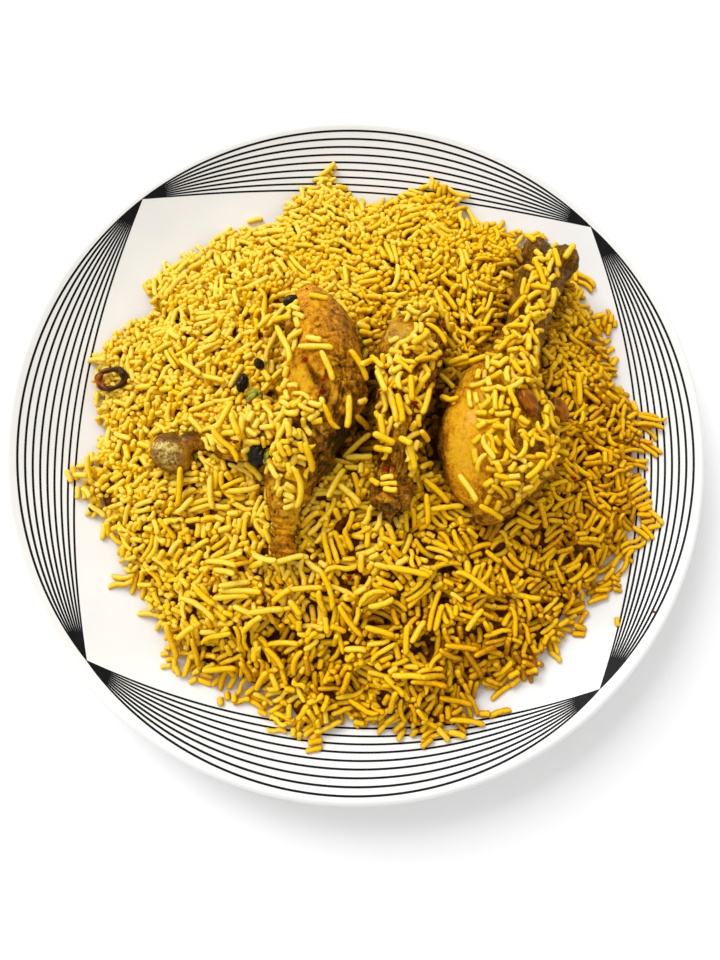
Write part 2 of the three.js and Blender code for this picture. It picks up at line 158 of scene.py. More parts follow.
outline = [(0, FOOT_H), (FOOT_R - FOOT_W - 1, FOOT_H)]
for i in range(FOOT_STEPS + 1):
    across = 2 * i / FOOT_STEPS - 1
    drop = math.sqrt(1 - abs(across) ** FOOT_ROUNDING)
    outline.append((FOOT_R - FOOT_W / 2 + across * FOOT_W / 2, FOOT_H * (1 - drop)))
rise = [WELL_R - 8, *np.linspace(WELL_R, RIM_R, RISE_STEPS)]
for r in rise:
    tilt = float(plate_slope(r))
    outline.append((r + WALL * math.sin(tilt), float(plate_top(r)) - WALL * math.cos(tilt)))
lip_r = RIM_R + WALL / 2 * math.sin(RIM_SLOPE)
lip_z = RIM_Z - WALL / 2 * math.cos(RIM_SLOPE)
for i in range(1, LIP_STEPS):
    turn = RIM_SLOPE - math.pi / 2 + math.pi * i / LIP_STEPS
    outline.append((lip_r + WALL / 2 * math.cos(turn), lip_z + WALL / 2 * math.sin(turn)))
outline += [(r, float(plate_top(r))) for r in reversed(rise)]
outline += [(WELL_R / 2, WELL_Z), (0, WELL_Z)]

# Glazed porcelain: a clean, faintly warm white with a hard wet shine, and a slow unevenness of
# the glaze that keeps its reflections from looking drawn with a ruler.
porcelain, tree, place = finish_of("glazed_porcelain")
drift = add(tree, "ShaderNodeTexNoise", {"Vector": place, "Scale": 40, "Detail": 2})
white = add(tree, "ShaderNodeValToRGB", {"Fac": drift}, stops=[(0.3, "#f3f3f0"), (0.7, "#f8f8f6")])
peel = add(tree, "ShaderNodeTexNoise", {"Vector": place, "Scale": 140, "Detail": 1})
uneven = add(tree, "ShaderNodeBump", {"Height": peel, "Strength": 0.08, "Distance": 0.0004})
shader = add(
    tree, "ShaderNodeBsdfPrincipled",
    {"Base Color": white, "Roughness": 0.1, "IOR": 1.52, "Normal": uneven},
)
add(tree, "ShaderNodeOutputMaterial", {"Surface": shader})
plate = mesh_of("plate", *turned(outline, PLATE_SIDES))
piece("porcelain_plate", plate, porcelain, ["plate"])

# The print on the border: four sheaves of nine fine black lines, transferred on and fired in. Each
# line is an arc between two corners of a square. It grows finer towards them and meets the rest there.
LINES = 9
LINE_W = 0.69
TAPER_L = 12
TAPER = 0.7
INK = 0.05
LINE_STEPS = 72
# Each corner of the square, as an angle and how far out it is, and for the sheaf that starts there
# how far out its outermost line bulges and the step between its lines.
CORNERS = [
    [42.5, 130.1, 130.2, 2.71],
    [132, 131, 129.6, 2.41],
    [220.9, 129.5, 131.2, 2.64],
    [312.8, 129.9, 130.5, 2.24],
]

points, faces = [], []
for side, k in itertools.product(range(4), range(LINES)):
    (turn_a, out_a, bulge, step), (turn_b, out_b, *rest) = CORNERS[side], CORNERS[side - 3]
    ax, ay = out_a * math.cos(math.radians(turn_a)), out_a * math.sin(math.radians(turn_a))
    bx, by = out_b * math.cos(math.radians(turn_b)), out_b * math.sin(math.radians(turn_b))
    half_chord = math.hypot(bx - ax, by - ay) / 2
    facing = math.atan2(by - ay, bx - ax) - math.pi / 2
    sagitta = bulge - math.hypot(ax + bx, ay + by) / 2 - step * k
    radius = (half_chord**2 + sagitta**2) / (2 * sagitta)
    swing = math.asin(half_chord / radius)
    start = len(points)
    for i in range(LINE_STEPS + 1):
        turn = -swing + 2 * swing * i / LINE_STEPS
        to_corner = radius * (swing - abs(turn))
        wide = LINE_W * (1 - TAPER * math.exp(-to_corner / TAPER_L))
        for off, sink in ((-1, 1), (1, 1), (1, -1), (-1, -1)):
            arm = radius + off * wide / 2
            out = sagitta - radius + arm * math.cos(turn)
            along = arm * math.sin(turn)
            x = (ax + bx) / 2 + out * math.cos(facing) - along * math.sin(facing)
            y = (ay + by) / 2 + out * math.sin(facing) + along * math.cos(facing)
            points.append((x, y, float(plate_top(math.hypot(x, y))) + sink * INK))
        if i:
            for j in range(4):
                a, b = start + 4 * i + j, start + 4 * i + (j + 1) % 4
                faces.append((a - 4, b - 4, b, a))
    faces.append((start + 3, start + 2, start + 1, start))
    end = len(points) - 4
    faces.append((end, end + 1, end + 2, end + 3))

# Fired ceramic ink: a soft black that the glaze over it makes a little grey where light falls.
ink, tree, place = finish_of("fired_black_ink")
density = add(tree, "ShaderNodeTexNoise", {"Vector": place, "Scale": 600, "Detail": 2})
black = add(
    tree, "ShaderNodeValToRGB", {"Fac": density}, stops=[(0.3, "#090a0c"), (0.75, "#131416")],
)
shader = add(
    tree, "ShaderNodeBsdfPrincipled", {"Base Color": black, "Roughness": 0.45, "IOR": 1.22},
)
add(tree, "ShaderNodeOutputMaterial", {"Surface": shader})
border_print = mesh_of("border_print", points, faces)
border_print.shade_flat()
piece("border_print", border_print, ink)

# The chicken: four joints stewed with the rice. Each is flesh and skin round a bone, drawn here as
# a limb along its bone with knobs at the joints, fused into one skin, then creased and torn.
SKIN_FACE = 0.5
LIMB_SIDES = 36
LIMB_RINGS = 44
LIMB_BLUNTNESS = 6


def clouds(points, size, seed=0):
    """Smooth noise from -1 to 1 at an array of points, with lumps of about the given size."""
    scaled = np.asarray(points, float) / size + seed * 17.3 + 400
    cell = np.floor(scaled).astype(np.int64)
    part = scaled - cell
    part = part * part * (3 - 2 * part)
    total = 0
    for corner in itertools.product((0, 1), repeat=3):
        at = cell + corner
        mixed = at[..., 0] * 374761393 + at[..., 1] * 668265263 + at[..., 2] * 1440662683
        mixed = (mixed ^ (mixed >> 13)) * 1274126177
        value = ((mixed ^ (mixed >> 16)) & 0xFFFF) / 32767.5 - 1
        total = total + value * np.prod(np.where(corner, part, 1 - part), axis=-1)
    return total


def spot(points, x, y, rx, ry, turn=0):
    """1 at the middle of an oval spot seen from above, falling smoothly to 0 past its edge."""
    a = math.radians(turn)
    dx, dy = points[..., 0] - x, points[..., 1] - y
    u = (dx * math.cos(a) + dy * math.sin(a)) / rx
    v = (dy * math.cos(a) - dx * math.sin(a)) / ry
    return 1 / (1 + (u * u + v * v) ** 3)


def smooth_path(rows, share):
    """Points on a smooth curve through the rows, at shares of the way from 0 to 1."""
    rows = np.asarray(rows, float)
    ends = np.vstack([2 * rows[0] - rows[1], rows, 2 * rows[-1] - rows[-2]])
    at = np.clip(share, 0, 1) * (len(rows) - 1)
    i = np.minimum(at.astype(int), len(rows) - 2)
    t = (at - i)[:, None]
    a, b, c, d = (ends[i + k] for k in range(4))
    bend = (2 * a - 5 * b + 4 * c - d) * t**2 + (3 * b - a - 3 * c + d) * t**3
    return (2 * b + (c - a) * t + bend) / 2


def limb_frames(rows, share):
    """Where a limb's bone is, its half sizes, and its directions along, sideways and up."""
    step = 0.002
    at = smooth_path(rows, share)
    ahead, behind = smooth_path(rows, share + step), smooth_path(rows, share - step)
    along = ahead[:, :3] - behind[:, :3]
    along /= np.linalg.norm(along, axis=1)[:, None]
    side = np.cross(-along, (0, 0, 1))
    side /= np.linalg.norm(side, axis=1)[:, None]
    return at[:, :3], at[:, 3:], along, side, np.cross(side, -along)


def spun(points, turn):
    """Points turned about the Z axis, by an angle in degrees."""
    c, s = math.cos(math.radians(turn)), math.sin(math.radians(turn))
    return points @ np.array([[c, s, 0], [-s, c, 0], [0, 0, 1]])


def ball(middle, half, turn=0, sides=28, rings=18):
    """Points and faces of an oval ball."""
    angles = [math.pi * i / rings for i in range(rings + 1)]
    points, faces = turned([(math.sin(a), -math.cos(a)) for a in angles], sides)
    return spun(np.asarray(points) * half, turn) + middle, faces


def limb(rows):
    """Points and faces of a ball drawn out along a bone. A row is a middle and two half sizes."""
    share = (1 - np.cos(np.linspace(0, math.pi, LIMB_RINGS + 1))) / 2
    at, half, along, side, up = limb_frames(rows, share)
    blunt = np.sqrt(np.maximum(0, 1 - np.abs(2 * share - 1) ** LIMB_BLUNTNESS))
    tube = [(0 if i in (0, LIMB_RINGS) else 1, i) for i in range(LIMB_RINGS + 1)]
    unit, faces = turned(tube, LIMB_SIDES)
    unit = np.asarray(unit)
    ring = unit[:, 2].round().astype(int)
    wide = (unit[:, 0] * half[ring, 0] * blunt[ring])[:, None]
    high = (unit[:, 1] * half[ring, 1] * blunt[ring])[:, None]
    return at[ring] + side[ring] * wide + up[ring] * high, faces


def fused(shapes, face):
    """Closed shapes that run into each other, made into one skin: points, normals and faces."""
    points, faces = [], []
    for some, theirs in shapes:
        faces += [tuple(k + len(points) for k in f) for f in theirs]
        points += np.asarray(some).tolist()
    rough = bpy.data.objects.new("rough", mesh_of("rough", points, faces))
    bpy.context.scene.collection.objects.link(rough)
    skin = rough.modifiers.new("skin", "REMESH")
    skin.mode = "VOXEL"
    skin.voxel_size = face * MM
    graph = bpy.context.evaluated_depsgraph_get()
    made = bpy.data.meshes.new_from_object(rough.evaluated_get(graph))
    bpy.data.objects.remove(rough)
    count = len(made.vertices)
    points, normals = np.empty(count * 3), np.empty(count * 3)
    made.vertices.foreach_get("co", points)
    made.vertex_normals.foreach_get("vector", normals)
    faces = [tuple(f.vertices) for f in made.polygons]
    bpy.data.meshes.remove(made)
    return points.reshape(-1, 3) / MM, normals.reshape(-1, 3), faces


def along_limb(points, rows):
    """For each point, how far along the bone it is, in millimetres, and its angle round it."""
    samples = np.linspace(0, 1, 120)
    at, half, along, side, up = limb_frames(rows, samples)
    nearest = ((points[:, None] - at[None]) ** 2).sum(2).argmin(1)
    lengths = np.concatenate([[0], np.cumsum(np.linalg.norm(np.diff(at, axis=0), axis=1))])
    off = points - at[nearest]
    angle = np.arctan2((off * up[nearest]).sum(1), (off * side[nearest]).sum(1))
    return lengths[nearest] + (off * along[nearest]).sum(1), angle


def with_values(mesh, **values):
    """Stores one number at each point of a mesh, under a name that its material reads."""
    for name, numbers in values.items():
        layer = mesh.attributes.new(name, "FLOAT", "POINT")
        layer.data.foreach_set("value", np.asarray(numbers, np.float32))
    return mesh


# Stewed chicken: golden where fat skin was fried, brown where it is lean, with short fibres along
# the limb, dark specks of ground spice, and a film of sauce that shines most on the gristle. Its
# brown also holds painted shade on steep sides, in creases and in cracks, and its pale cream holds
# pale fat and gristle together with painted highlights.
flesh, tree, place = finish_of("stewed_chicken")
brown, fibrous, olive, fatty, wet, lengthways, around = (
    add(tree, "ShaderNodeAttribute", attribute_name=name).outputs["Fac"]
    for name in ("brown", "fibrous", "olive", "fatty", "wet", "lengthways", "around")
)
lie = add(tree, "ShaderNodeCombineXYZ", {"X": lengthways, "Y": around})
strands = add(
    tree, "ShaderNodeTexNoise", {"Vector": lie, "Scale": 1.2, "Detail": 4, "Roughness": 0.6},
)
centred = add(tree, "ShaderNodeMath", {0: strands, 1: 0.5}, operation="SUBTRACT")
fibres = add(tree, "ShaderNodeMath", {0: centred, 1: fibrous}, operation="MULTIPLY")
mottle = add(
    tree, "ShaderNodeTexNoise", {"Vector": place, "Scale": 480, "Detail": 6, "Roughness": 0.75},
)
mottled = add(tree, "ShaderNodeMath", {0: mottle, 1: 1.6, 2: brown}, operation="MULTIPLY_ADD")
shade = add(tree, "ShaderNodeMath", {0: fibres, 1: 1.9, 2: mottled}, operation="MULTIPLY_ADD")
shade = add(tree, "ShaderNodeMath", {0: shade, 1: 0.8}, operation="SUBTRACT")
COOKED = [
    (0.0, "#ffc01c"), (0.12, "#fbb00e"), (0.24, "#e8980a"), (0.42, "#b87006"),
    (0.62, "#875003"), (0.8, "#592c01"), (1.0, "#260f00"),
]
cooked = add(tree, "ShaderNodeValToRGB", {"Fac": shade}, stops=COOKED)
sauced = add(tree, "ShaderNodeMix", {0: olive, 6: cooked, 7: linear("#6e5208")}, data_type="RGBA")
# Pale cream of fat and gristle, and painted highlights, broken up by fine crumbs of noise.
crumbs = add(tree, "ShaderNodeTexNoise", {"Vector": place, "Scale": 1000, "Detail": 3})
crumbs = add(tree, "ShaderNodeMath", {0: crumbs, 1: 4, 2: -3.1}, operation="MULTIPLY_ADD")
grease_and_glint = add(
    tree, "ShaderNodeMath", {0: fatty, 1: 2.2, 2: crumbs}, operation="MULTIPLY_ADD", use_clamp=True,
)
sauced = add(
    tree, "ShaderNodeMix", {0: grease_and_glint, 6: sauced.outputs[2], 7: linear("#f8dc78")}, data_type="RGBA",
)
grit = add(tree, "ShaderNodeTexNoise", {"Vector": place, "Scale": 1250, "Detail": 1})
speck = add(tree, "ShaderNodeValToRGB", {"Fac": grit}, stops=[(0.63, "#ffffff"), (0.7, "#2a1000")])
stuck = add(
    tree, "ShaderNodeMath", {0: brown, 1: 2.4, 2: 0.1}, operation="MULTIPLY_ADD", use_clamp=True,
)
specked = add(
    tree, "ShaderNodeMix", {0: stuck, 6: sauced.outputs[2], 7: speck}, data_type="RGBA",
    blend_type="MULTIPLY",
)
wrinkle = add(
    tree, "ShaderNodeTexNoise", {"Vector": place, "Scale": 1000, "Detail": 6, "Roughness": 0.7},
)
ridges = add(tree, "ShaderNodeMath", {0: fibres, 1: 2.5, 2: wrinkle}, operation="MULTIPLY_ADD")
grain_bump = add(tree, "ShaderNodeBump", {"Height": ridges, "Strength": 1, "Distance": 0.0011})
dullness = add(tree, "ShaderNodeMath", {0: wet, 1: -0.26, 2: 0.42}, operation="MULTIPLY_ADD")
film = add(tree, "ShaderNodeMath", {0: wet, 1: 8}, operation="POWER")
shader = add(tree, "ShaderNodeBsdfPrincipled", {
    "Base Color": specked.outputs[2],
    "Roughness": dullness,
    "IOR": 1.42,
    "Specular Tint": linear("#ffd88c"),
    "Subsurface Weight": 0.05,
    "Subsurface Radius": (1.0, 0.5, 0.1),
    "Subsurface Scale": 0.0008,
    "Coat Weight": film,
    "Coat Roughness": 0.08,
    "Normal": grain_bump,
})
add(tree, "ShaderNodeOutputMaterial", {"Surface": shader})
# How closely the fibres' pattern repeats along the bone, and how closely round it.
FIBRE_STRETCH = 0.2
FIBRE_REACH = 8.5


def joint_of_chicken(name, skin, lie, shift, slot, node, **values):
    """One joint: its skin moved out by a shift in millimetres, with what its finish reads."""
    points, normals, faces = skin
    along, angle = lie
    made = mesh_of(name, points + normals * shift[:, None], faces)
    kept = {key: np.clip(numbers, 0, 1) for key, numbers in values.items()}
    with_values(made, lengthways=along * FIBRE_STRETCH, around=angle * FIBRE_REACH, **kept)
    piece(name, made, flesh, [node])
    return made


def steepness(normals):
    """1 on the steep sides of a limb, which are painted darker as shade, and 0 on its top."""
    return np.clip((0.5 - normals[:, 2]) / 0.5, 0, 1)


def drawn_out(lie, length, turns, seed):
    """Noise drawn out along a limb: about so long, and so many to a radian round it."""
    along, angle = lie
    return clouds(np.stack([along / length, angle * turns, 0 * along], 1), 1, seed)


def creases(points, wide, narrow, seed):
    """1 along a net of thin creases, wide and narrow, and 0 between them."""
    wide_ones = 1 - np.abs(clouds(points, wide, seed))
    return np.maximum(wide_ones, 0.95 - np.abs(clouds(points, narrow, seed + 1))) ** 8


# The thigh: bare golden skin over its dome, torn open to bright meat in the middle, with bare brown
# meat on the right, a crack between them, and a ribbed stump of bone at the near end.
THIGH = [
    [-19.7, 53, 37, 6.5, 6.5],
    [-16.9, 40.5, 39.5, 11.2, 10.5],
    [-13.2, 25.5, 41.5, 14.2, 12.6],
    [-12.6, 8.7, 42, 15.2, 13],
    [-17, -6.5, 40.5, 13, 11.4],
    [-23.4, -18, 38.8, 9.6, 9.4],
    [-25.4, -28.5, 37, 7.6, 7.6],
    [-26.2, -38, 35.4, 4.8, 4.8],
    [-26.8, -46, 34.5, 4, 4],
]
RIB_STEP = 2.1
shapes = [
    limb(THIGH),
    ball((-26.6, -45.5, 35), (4.9, 4.4, 4.4)),
    ball((-24.4, -21, 41), (6.6, 7.6, 5.6), 15),
    ball((-24.4, 8.5, 40.5), (5.2, 8.5, 7), -8),
]
skin = fused(shapes, SKIN_FACE)
points, normals = skin[:2]
lie = along_limb(points, THIGH)
along, east = lie[0], points[:, 0]
hatch = drawn_out(lie, 3.4, 8, 3)
strand = 1 - np.abs(drawn_out(lie, 11, 4.5, 5))
dash = np.clip(drawn_out(lie, 1.1, 5, 14) - 0.35, 0, 0.4)
tuft = clouds(points, 1.5, 15)
crumple = creases(points, 4.2, 2.6, 16)
dome = spot(points, -15.5, 33, 12, 19)
torn = spot(points, -22, 9, 8, 6.4, 20)
lean = spot(points, -4.5, 8, 8.5, 15, 8)
crack = spot(points, -14.4, 9.4, 8.5, 1.5, -58)
hollow = spot(points, -24.2, 27.5, 3, 4.5)
low = spot(points, -18, -11, 11, 12)
foot = spot(points, -25, -28, 8, 9)
bone = np.clip((along - 88) / 6, 0, 1)
shift = 0.8 * clouds(points, 10, 1) * (1 - 0.6 * dome)
shift += 0.5 * clouds(points, 3.6, 2) * (1 - 0.7 * dome)
shift += 0.6 * hatch * np.clip(0.6 * torn + lean + 0.9 * low + 0.5 * foot, 0, 1)
shift += 0.26 * clouds(points, 1.4, 6) - 1.9 * strand**8 * (lean + 0.6 * low)
shift += 0.3 * hatch * dome - 0.9 * dash * dome + 0.7 * clouds(points, 2.2, 12) * foot
meat = np.clip(0.8 * torn + low + foot + lean, 0, 1)
shift += 0.5 * tuft * meat - 1.1 * crumple * np.clip(low + foot + lean, 0, 1)
shift += 0.45 * np.sin(along * 2 * math.pi / RIB_STEP) * bone
shift -= 0.8 * torn + 2.4 * crack + 1.7 * hollow + 2.2 * spot(points, -2.5, -11, 6, 9)
# The brown holds painted shade: darker in the crack, the hollow and the dent at the near side, on the
# steep sides and along the creases of the meat. The dome's gold grows browner to the right.
brown_here = 0.42 + 0.12 * clouds(points, 5, 7) + 0.14 * clouds(points, 2.2, 8)
brown_here += 0.18 * strand**6 * (1 - dome)
golden = 0.27 + 0.018 * np.clip(east + 16, -6, 14) + 0.12 * clouds(points, 3.5, 9)
golden += 0.1 * np.clip(clouds(points, 1.3, 10), 0, 1)
brown_here += (golden - brown_here) * dome
brown_here += -0.18 * lean - 0.5 * torn - 0.48 * foot - 0.08 * bone + 0.55 * crack + 0.6 * hollow
brown_here += 0.35 * steepness(normals) + 0.5 * spot(points, -2.5, -11, 6, 9)
brown_here += 0.12 * hatch * (0.4 * dome + foot) + 0.06 * foot + 0.8 * dash * dome
brown_here += 0.45 * crumple * np.clip(low + foot + lean, 0, 1) - 0.34 * tuft * meat - 0.06
# Its pale cream mixes fat with painted highlights on the torn meat, and is kept out of the creases.
thigh_skin = joint_of_chicken(
    "thigh_skin", skin, lie, shift, "chicken_skin", "chicken_thigh",
    brown=brown_here,
    olive=0.35 * low + 0.2 * lean + 0.25 * foot,
    fatty=0.18 + 0.1 * meat + 0.25 * np.clip(tuft, 0, 1) * meat - 0.3 * crumple,
    wet=0.2 + 0.1 * dome + 0.2 * lean,
    fibrous=0.2 + 0.35 * np.clip(lean + low + 0.7 * torn, 0, 1),
)

# The left drumstick: its shiny grey-green knuckle and a brown stretch of shaft lie bare, and the
# rest runs under the rice and the thigh.
LEFT_LEG = [
    [-63, -7.5, 31.5, 3.8, 3.8],
    [-55, -6.2, 31.8, 3.9, 3.9],
    [-47, -6.2, 33, 8, 7.4],
    [-36, -4.4, 35, 11, 9],
    [-20, -1, 37, 10, 9],
]
shapes = [
    limb(LEFT_LEG),
    ball((-69, -9.8, 31.2), (6.9, 7.6, 7.4), 20),
    ball((-66, -12.6, 30.6), (6, 5.6, 6.4), -20),
    ball((-62, -6.6, 31.6), (5.4, 4.2, 4.8), 10),
]
skin = fused(shapes, SKIN_FACE)
points, normals = skin[:2]
lie = along_limb(points, LEFT_LEG)
# The knuckle is painted: a pale highlight band across it and pale glints on its puckered lower side,
# and painted shade along its top rim.
knuckle = spot(points, -67.5, -9.5, 9, 9)
puckered = spot(points, -68.4, -13.2, 4.8, 4, -15)
rim = spot(points, -67.6, -4, 9, 3.2, 4)
band = spot(points, -68.6, -9.2, 6.2, 2.5, -8)
lobe = spot(points, -59.5, -6.5, 4.5, 5)
hatch = drawn_out(lie, 4, 5, 4)
shift = 0.5 * clouds(points, 5, 11) * (1 - 0.5 * knuckle) + 0.4 * hatch * (1 - knuckle)
shift += 0.2 * clouds(points, 1.6, 12) + 0.5 * clouds(points, 1.2, 16) * puckered - 0.5 * rim
# The brown holds painted shade on the steep sides and along the knuckle's top rim.
brown_here = 0.24 + 0.12 * clouds(points, 4, 13) - 0.1 * knuckle + 0.14 * clouds(points, 1.8, 15)
brown_here += 0.6 * steepness(normals) + 0.55 * rim + 0.1 * lobe + 0.15 * puckered
patchy = 0.98 + 0.3 * clouds(points, 1.7, 18)
left_leg = joint_of_chicken(
    "left_leg", skin, lie, shift, "chicken_skin", "chicken_drumstick_left",
    brown=brown_here,
    olive=0.72 * knuckle * (1 - 0.5 * rim) * (1 - 0.6 * steepness(normals)) * (1 - 0.5 * lobe),
    fatty=np.maximum(0.95 * band * (1 - rim), 0.66 * puckered) * (1 - 0.6 * lobe) * patchy,
    wet=0.3 + 0.6 * knuckle,
    fibrous=1 - knuckle,
)

# The wing: bony, with a clump of meat at the far end, half clear gristle, two bare bones side by side
# along the middle and a gnarled dark joint at the near end.
WING = [
    [28.6, 45.5, 37, 5, 5],
    [24.2, 38.2, 39, 8.3, 7],
    [19.1, 27.7, 41, 11.6, 9],
    [16.2, 13.8, 42.5, 11, 9.4],
    [14.8, -0.9, 42.5, 8.6, 8.4],
    [13.3, -14.9, 40.5, 7.2, 7.4],
    [11, -26.7, 38.4, 6.6, 6.8],
    [10.8, -35.1, 36, 4, 4],
]
shapes = [
    limb(WING),
    ball((13.6, 27.6, 44.6), (5.8, 6.2, 4.6), 25),
    ball((11.2, -27.2, 40), (7.4, 6.4, 6)),
]
skin = fused(shapes, SKIN_FACE)
points, normals = skin[:2]
lie = along_limb(points, WING)
along = lie[0]
strand = 1 - np.abs(drawn_out(lie, 16, 3.2, 21))
hatch = drawn_out(lie, 4, 6, 22)
gristle = spot(points, 14.2, 28.6, 6, 6.5, 25)
shaft = np.clip((along - 40) / 10, 0, 1) * np.clip((74 - along) / 8, 0, 1)
rod = spot(points, 13.6, -11, 2, 12, 2) * shaft
joint = spot(points, 11, -29, 9, 10)
shift = 0.9 * clouds(points, 6, 23) * (1 - gristle) - 2.2 * strand**6 * shaft * (1 - rod) + 0.6 * rod
shift += (0.5 * hatch * (1 - rod) - 0.8 * strand**8) * (1 - gristle) * (1 - joint)
shift += (1.3 * clouds(points, 2.8, 24) + 0.9 * clouds(points, 1.5, 26)) * joint
crumple = creases(points, 3.8, 2.4, 29)
shift += (0.5 * clouds(points, 1.6, 27) - 1.1 * crumple) * (1 - gristle) * (1 - rod)
# The brown holds painted shade on the steep sides and along the creases; its cream holds pale gristle
# and fat with painted highlights on the gristle.
brown_here = 0.46 + 0.2 * clouds(points, 3.4, 25) + 0.2 * strand**5 * (1 - joint) - 0.3 * gristle
brown_here += 0.2 * clouds(points, 1.8, 27) - 0.1 * rod + 0.25 * steepness(normals) + 0.1 * joint
brown_here += 0.3 * crumple * (1 - gristle) - 0.12
wing_meat = joint_of_chicken(
    "wing_meat", skin, lie, shift, "chicken_bony", "chicken_wing",
    brown=brown_here,
    olive=0.4 * gristle + 0.45 * rod + 0.2 * joint,
    fatty=0.28 + 0.3 * gristle + 0.14 * clouds(points, 3, 28) + 0.05 * joint - 0.3 * crumple,
    wet=0.3 + 0.5 * gristle + 0.4 * joint + 0.2 * rod,
    fibrous=1 - np.clip(gristle + joint, 0, 1),
)

# The right drumstick: the biggest piece, with bright golden skin on the left of its belly, folds of
# skin round its near end, and a rough dark knuckle at the far end. Rice sticks to the rest.
RIGHT_LEG = [
    [76.4, 72, 29.6, 6, 6],
    [73.8, 64.6, 30.8, 9.2, 7.6],
    [68, 53.1, 32.6, 8.7, 7.2],
    [62.7, 38.4, 35, 7.5, 7],
    [56.8, 24.6, 37, 9.6, 8.6],
    [51.7, 9.8, 39, 16.6, 12.4],
    [49.4, -7.2, 40, 21.6, 14.6],
    [47.7, -21.5, 39.2, 19, 13.2],
    [46.9, -36.5, 37.8, 10, 9],
]
FOLD_STEP = 2.5
shapes = [
    limb(RIGHT_LEG),
    ball((69.4, 70.6, 30.6), (5.6, 6.2, 5.6)),
    ball((79.4, 66.8, 30.4), (6.2, 6.8, 6)),
]
skin = fused(shapes, SKIN_FACE)
points, normals = skin[:2]
lie = along_limb(points, RIGHT_LEG)
east, north = points[:, 0], points[:, 1]
hatch = drawn_out(lie, 4, 10, 31)
bare = spot(points, 37, -7, 10, 21, -12)
knuckle = spot(points, 73, 64, 13, 13)
folds = spot(points, 44, -31, 12, 9, -35)
# Painted highlights: pale sheen spots on the bare golden skin.
painted_sheen = spot(points, 37.6, -4, 4, 6, 10) + spot(points, 41, -22, 5, 5)
painted_sheen += spot(points, 33.5, -14, 2, 9, 12)
painted_sheen = np.clip(painted_sheen * (0.7 + 0.6 * clouds(points, 3, 42)), 0, 1)
outwards = np.hypot(east - 49, north + 8) + 0.8 * clouds(points, 6, 38)
shift = 0.7 * clouds(points, 9, 33) + 0.45 * clouds(points, 3.2, 34) * (1 - 0.6 * bare)
shift += 0.14 * clouds(points, 1.5, 37) + 0.35 * hatch * (1 - bare)
shift += (1.1 * clouds(points, 2.8, 35) + 0.4 * clouds(points, 1.4, 39)) * knuckle
folding = outwards * 2 * math.pi / FOLD_STEP
shift += 0.55 * np.sin(folding) * folds
shaded = np.clip((east - 46) / 16, 0, 1)
# The brown holds painted shade: browner and more olive on the right, turned from the light, and on the
# steep sides, and each fold darker on one flank and lighter on the other. It is also darker along its
# left edge.
brown_here = 0.26 + 0.14 * clouds(points, 5, 36) + 0.12 * clouds(points, 2, 40) - 0.14 * bare
brown_here -= 0.14 * painted_sheen * bare
brown_here += 0.16 * shaded + 0.3 * knuckle - 0.04 * folds
brown_here += 0.4 * steepness(normals) * (1 - 0.2 * bare) * (1 - 0.6 * folds)
brown_here += 0.4 * np.clip((31.5 - east) / 3, 0, 1) + 0.12 * np.cos(folding) * folds
right_leg = joint_of_chicken(
    "right_leg", skin, lie, shift, "chicken_roast", "chicken_drumstick_right",
    brown=brown_here,
    olive=0.35 * knuckle + (0.25 + 0.2 * shaded) * (1 - bare) * (1 - folds) * (1 - knuckle),
    fatty=(0.27 + 0.15 * clouds(points, 2, 41)) * (1 - bare) + 0.24 * painted_sheen * bare + 0.1 * folds,
    wet=0.4 + 0.2 * knuckle + 0.4 * bare,
    fibrous=0.7 - 0.5 * bare,
)

# The core of the heap: boiled rice packed too close to see between, steeped brown by the sauce and
# painted dark as the shade between the grains. It lies a few grains deep under the surface, sags
# into the gaps round the chicken, and is closed.
HEAP = (2, 2)
HEAP_R = 109.5
PEAK_Z = 38
EDGE_Z = 13
FULLNESS = 2.4
SHOULDER = 0.85
LOBES = [
    [-19, 6, 7], [-2, 4, 9], [20, -3, 8], [62, -4, 6], [71, 3, 5], [88, -9, 6], [99, 4, 4],
    [116, -10, 8], [134, -4, 7], [150, -10, 4], [180, -7, 4], [205, -4, 5], [218, -3, 8],
    [232, 3, 6], [260, 9, 4], [284, 11, 8], [305, 2, 6],
]
SWELL = 1.2
CORE_DEPTH = 5
CORE_INSET = 5
LUMP = 13
NEAR_LUMPS = 3.3
FAR_LUMPS = 1.1
CORE_RINGS = 60
CORE_SECTORS = 240
CELL = 0.5
SPAN = 140
# Dark gaps beside the chicken, and hollows in the rice, as spots and how deep they go.
GAPS = [
    [1.5, 8, 3, 12, -6, 9], [-3, -10, 7, 3.5, 15, 7], [28.5, 0, 3.5, 15, 4, 10],
    [27, 24, 4, 4, 0, 4], [-38.9, -52, 5, 3, 0, 4], [-16.9, -68.4, 5, 3, -20, 4],
    [-29.7, -75.6, 7, 3, -10, 4], [-11.2, -82.6, 4, 4, 0, 4], [-14.6, -88.6, 3, 4, 0, 3],
    [-70.5, -62.2, 5, 3, 0, 3], [-59.2, -66.5, 3, 4, 0, 3], [-1.7, -55.8, 4, 3, 0, 4],
    [30.2, -62.6, 4, 3, 0, 4], [23.1, -79.5, 5, 4, 0, 6], [50.6, -66.2, 5, 4, 0, 4],
    [42.3, -75.2, 5, 3, 0, 3], [7.7, -70.3, 5, 3, 0, 3], [1.5, -94.1, 4, 3, 0, 3],
    [19.2, -94.6, 3, 3, 0, 3], [-42.8, 48.3, 3, 3, 0, 2], [-31.7, 48.5, 5, 3, 0, 3],
    [-45.7, 30.2, 3, 3, 0, 2], [-24.3, 56.3, 3, 3, 0, 2],
]


def heap_reach(angle):
    """How far the heap goes from its middle, at an angle in radians."""
    reach = HEAP_R
    for at, depth, width in LOBES:
        away = (np.degrees(angle) - at + 180) % 360 - 180
        reach = reach + depth * np.exp(-((away / width) ** 2))
    return reach


